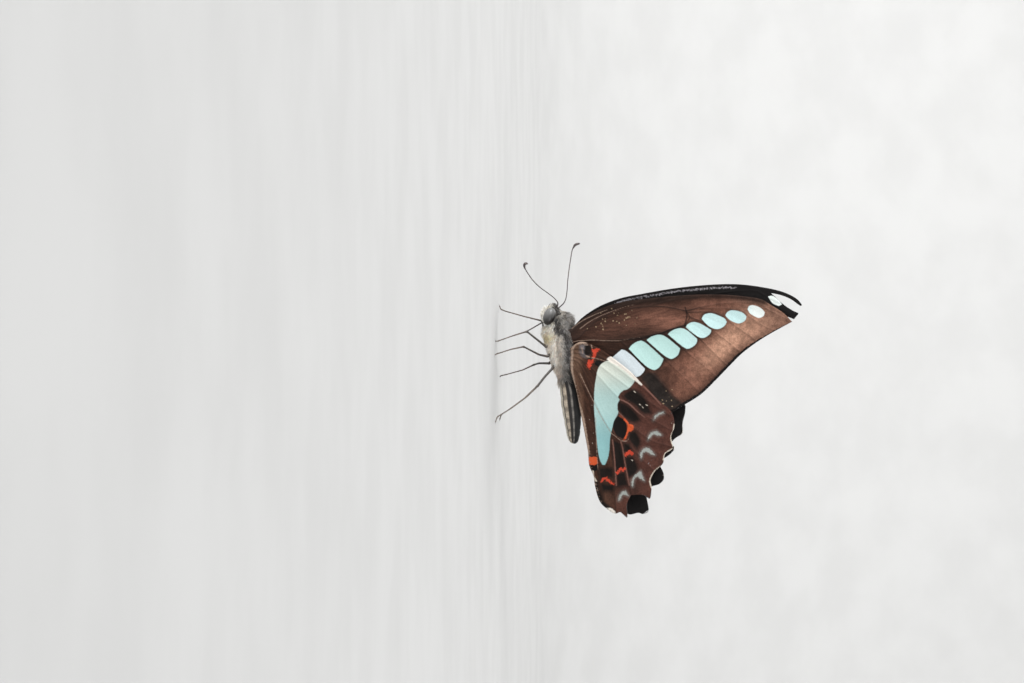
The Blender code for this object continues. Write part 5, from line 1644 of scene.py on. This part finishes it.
def leg(word, finish):
    """A tube with swollen joints, with bristles, spurs and claws on it."""
    points = np.array(LEG_PATHS[word])
    points[:, 2] += FOOT_RADIUS
    path = leg_path(points)
    travelled = travelled_along(path)
    at = [travelled[np.argmin(np.linalg.norm(path - corner, axis=1))] for corner in points]
    radius = np.interp(travelled, at, LEG_RADII[len(points)])
    knee, ankle = at[-5], at[-2]
    for joint, swell in ((at[1], HIP_SWELL), (knee, KNEE_SWELL), (ankle, ANKLE_SWELL)):
        radius += swell * bell(travelled - joint, SWELL_REACH)
    on_foot = travelled - ankle + FOOT_LENGTH
    radius += FOOT_JOINT_SWELL * (on_foot > 0) * np.abs(np.sin(math.pi * on_foot / FOOT_JOINT)) ** 3
    radius *= rounded_end(travelled[-1] - travelled, 0.12, 0.03)
    path[:, 2] = np.maximum(path[:, 2], radius)
    pale = 0.75 * smoothstep(knee - 0.3, knee + 1.5, travelled)
    limb("leg_" + word + ".horn", path, radius, pale, finish, "dark_horn", "leg_" + word, sides=12)
    leg_bristles(word, path, travelled, radius, knee, ankle)


leg_horn = horn_finish("leg_horn", (0.030, 0.026, 0.024), (0.11, 0.085, 0.065))
for word in LEG_PATHS:
    leg(word, leg_horn)

# %% [markdown]
# ## The tongue and the palps
#
# The tongue is two half tubes zipped together, and is built as one tube with a flat oval section. The
# palps are two small hairy fingers that stand in front of the face on either side of it.

# %% Make the tongue and the palps
TONGUE = [(0, -10.9, 9.3), (0, -10.3, 8.1), (0, -8.9, 5.6), (0, -8.2, 3.6), (0, -7.5, 1.5), (0, -7.2, 0.75)]
PALP = [(0.62, -10.6, 9.5), (0.60, -10.9, 8.8), (0.5, -12.0, 8.45), (0.42, -13.2, 8.8)]
TONGUE_RINGS = 160
PALP_RINGS, PALP_SIDES = 40, 20
PALP_TUFTS = 1500
tongue_path = evenly(through(TONGUE, 300), TONGUE_RINGS)
tongue_share = np.linspace(0.0, 1.0, TONGUE_RINGS)
tongue_radius = (0.20 - 0.08 * tongue_share) * (0.93 + 0.07 * np.abs(np.sin(60 * math.pi * tongue_share)))
tongue_radius *= rounded_end(1 - tongue_share, 0.02, 0.03)
limb("proboscis.tongue", tongue_path, tongue_radius, 0.3 * tongue_share, leg_horn, "dark_horn", "proboscis",
     sides=16, flat=0.7)


def palp(word, side, finish):
    """A finger that swells in the middle, with short hair along it."""
    path = evenly(through(PALP, 120), PALP_RINGS) * np.array((side, 1.0, 1.0))
    share = np.linspace(0.0, 1.0, PALP_RINGS)
    radius = 0.08 + 0.20 * np.sin(math.pi * share ** 0.8) ** 0.7
    grid = carried(path, radius, PALP_SIDES)
    piece = closed_grid("palp_" + word + ".skin", grid)
    note(piece, "coat", np.tile(WARM_CREAM * 0.6, (len(piece.data.vertices), 1)))
    piece.data.materials.append(finish)
    settle(piece, "palp_fur", "palp_" + word)
    roots, normal, lie, row, column = scatter(grid[:, ::-1], np.ones((PALP_RINGS, PALP_SIDES)), PALP_TUFTS)
    count = len(roots)
    pale = blend(BREAST_CREAM * 1.1, HAIR_DARK, (random.uniform(0, 1, count) < 0.1) * 0.8)
    places = np.stack([(PALP_SIDES - 1 - column) / PALP_SIDES, row / (PALP_RINGS - 1)], axis=1)
    tufts("palp_" + word + ".hair", roots, normal, lie + random.normal(0.0, 0.2, (count, 3)),
          random.uniform(0.25, 0.5, count), random.uniform(0.04, 0.07, count),
          random.uniform(0.3, 1.1, count), pale, places, fur, "palp_fur", sink=0.03)


palp("left", 1.0, fur)
palp("right", -1.0, fur)

# %% [markdown]
# ## The stage
#
# A museum model stands on a pale sheet that sweeps up behind it without a corner, so that no horizon
# crosses the picture taken from its left side.

# %% The pale sweep
SWEEP_FRONT = 2600.0
SWEEP_BACK = 260.0
SWEEP_RADIUS = 240.0
SWEEP_TOP = 1500.0
SWEEP_HALF_WIDTH = 2600.0
CARD_DARK = (0.49, 0.49, 0.485)
CARD_PALE = (0.52, 0.52, 0.515)


def sweep_finish():
    """A matt pale grey with a faint grain, as on card."""
    finish, tree, shader = new_finish("pale_card", 0.9)
    tone = ramp(tree, grain(tree, 0.05), 0.3, 0.7, 0.0, 1.0)
    tree.links.new(mixed(tree, tone, CARD_DARK, CARD_PALE), shader.inputs["Base Color"])
    bumped(tree, shader, grain(tree, 1.2), 0.02, 0.3)
    return finish


def floor_sweep():
    """The floor runs to the quarter circle behind the insect, and that runs up into the backdrop."""
    turn = np.linspace(0.0, math.pi / 2, 24)
    bend = np.stack([-SWEEP_BACK - SWEEP_RADIUS * np.sin(turn), SWEEP_RADIUS * (1 - np.cos(turn))], axis=1)
    profile = np.concatenate([[(SWEEP_FRONT, 0.0)], bend, [(bend[-1, 0], SWEEP_TOP)]])
    ys = np.array((-SWEEP_HALF_WIDTH, 0.0, SWEEP_HALF_WIDTH))
    x, z = (np.repeat(part, 3) for part in profile.T)
    points = np.stack([x, np.tile(ys, len(profile)), z], axis=1)
    floor = mesh_object("floor", points, grid_quads(len(profile), 3))
    floor.data.materials.append(sweep_finish())


floor_sweep()

# %% [markdown]
# ## The lights
#
# The wings' scales show their grain best in a broad light that comes a little from one side. The main
# light stands to the left and in front, and a second one fills from the left and behind. A third, low in
# front, reaches the face and the breast. Two weak ones, from the right and from above, lift the edges,
# and an even pale world lifts the shadows.

# %% Set the lights
def area_light(name, place, aim, size, power):
    """A square soft light at a place in millimetres that faces its aim."""
    data = bpy.data.lights.new(name, "AREA")
    data.shape = "SQUARE"
    data.size = size * MM
    data.energy = power
    light = bpy.data.objects.new(name, data)
    place, aim = Vector(place) * MM, Vector(aim) * MM
    light.location = place
    light.rotation_euler = (place - aim).to_track_quat("Z", "Y").to_euler()
    bpy.context.scene.collection.objects.link(light)


def world_light(strength):
    """An even pale light from all round."""
    world = bpy.data.worlds.new("studio")
    world.use_nodes = True
    ground = world.node_tree.nodes["Background"]
    ground.inputs["Color"].default_value = (1.0, 1.0, 1.0, 1.0)
    ground.inputs["Strength"].default_value = strength
    bpy.context.scene.world = world


area_light("main_light", (690, -670, 305), (0, 0, 25), 600, 4.9)
area_light("side_fill", (670, 530, 300), (0, 0, 25), 420, 2.9)
area_light("front_fill", (330, -790, 150), (0, 0, 20), 280, 6.1)
area_light("far_fill", (-400, -120, 420), (0, 0, 25), 420, 1.0)
area_light("top_light", (-60, 0, 620), (0, 0, 25), 420, 1.6)
world_light(0.53)
bpy.context.scene.view_settings.view_transform = "Standard"
bpy.context.view_layer.update()
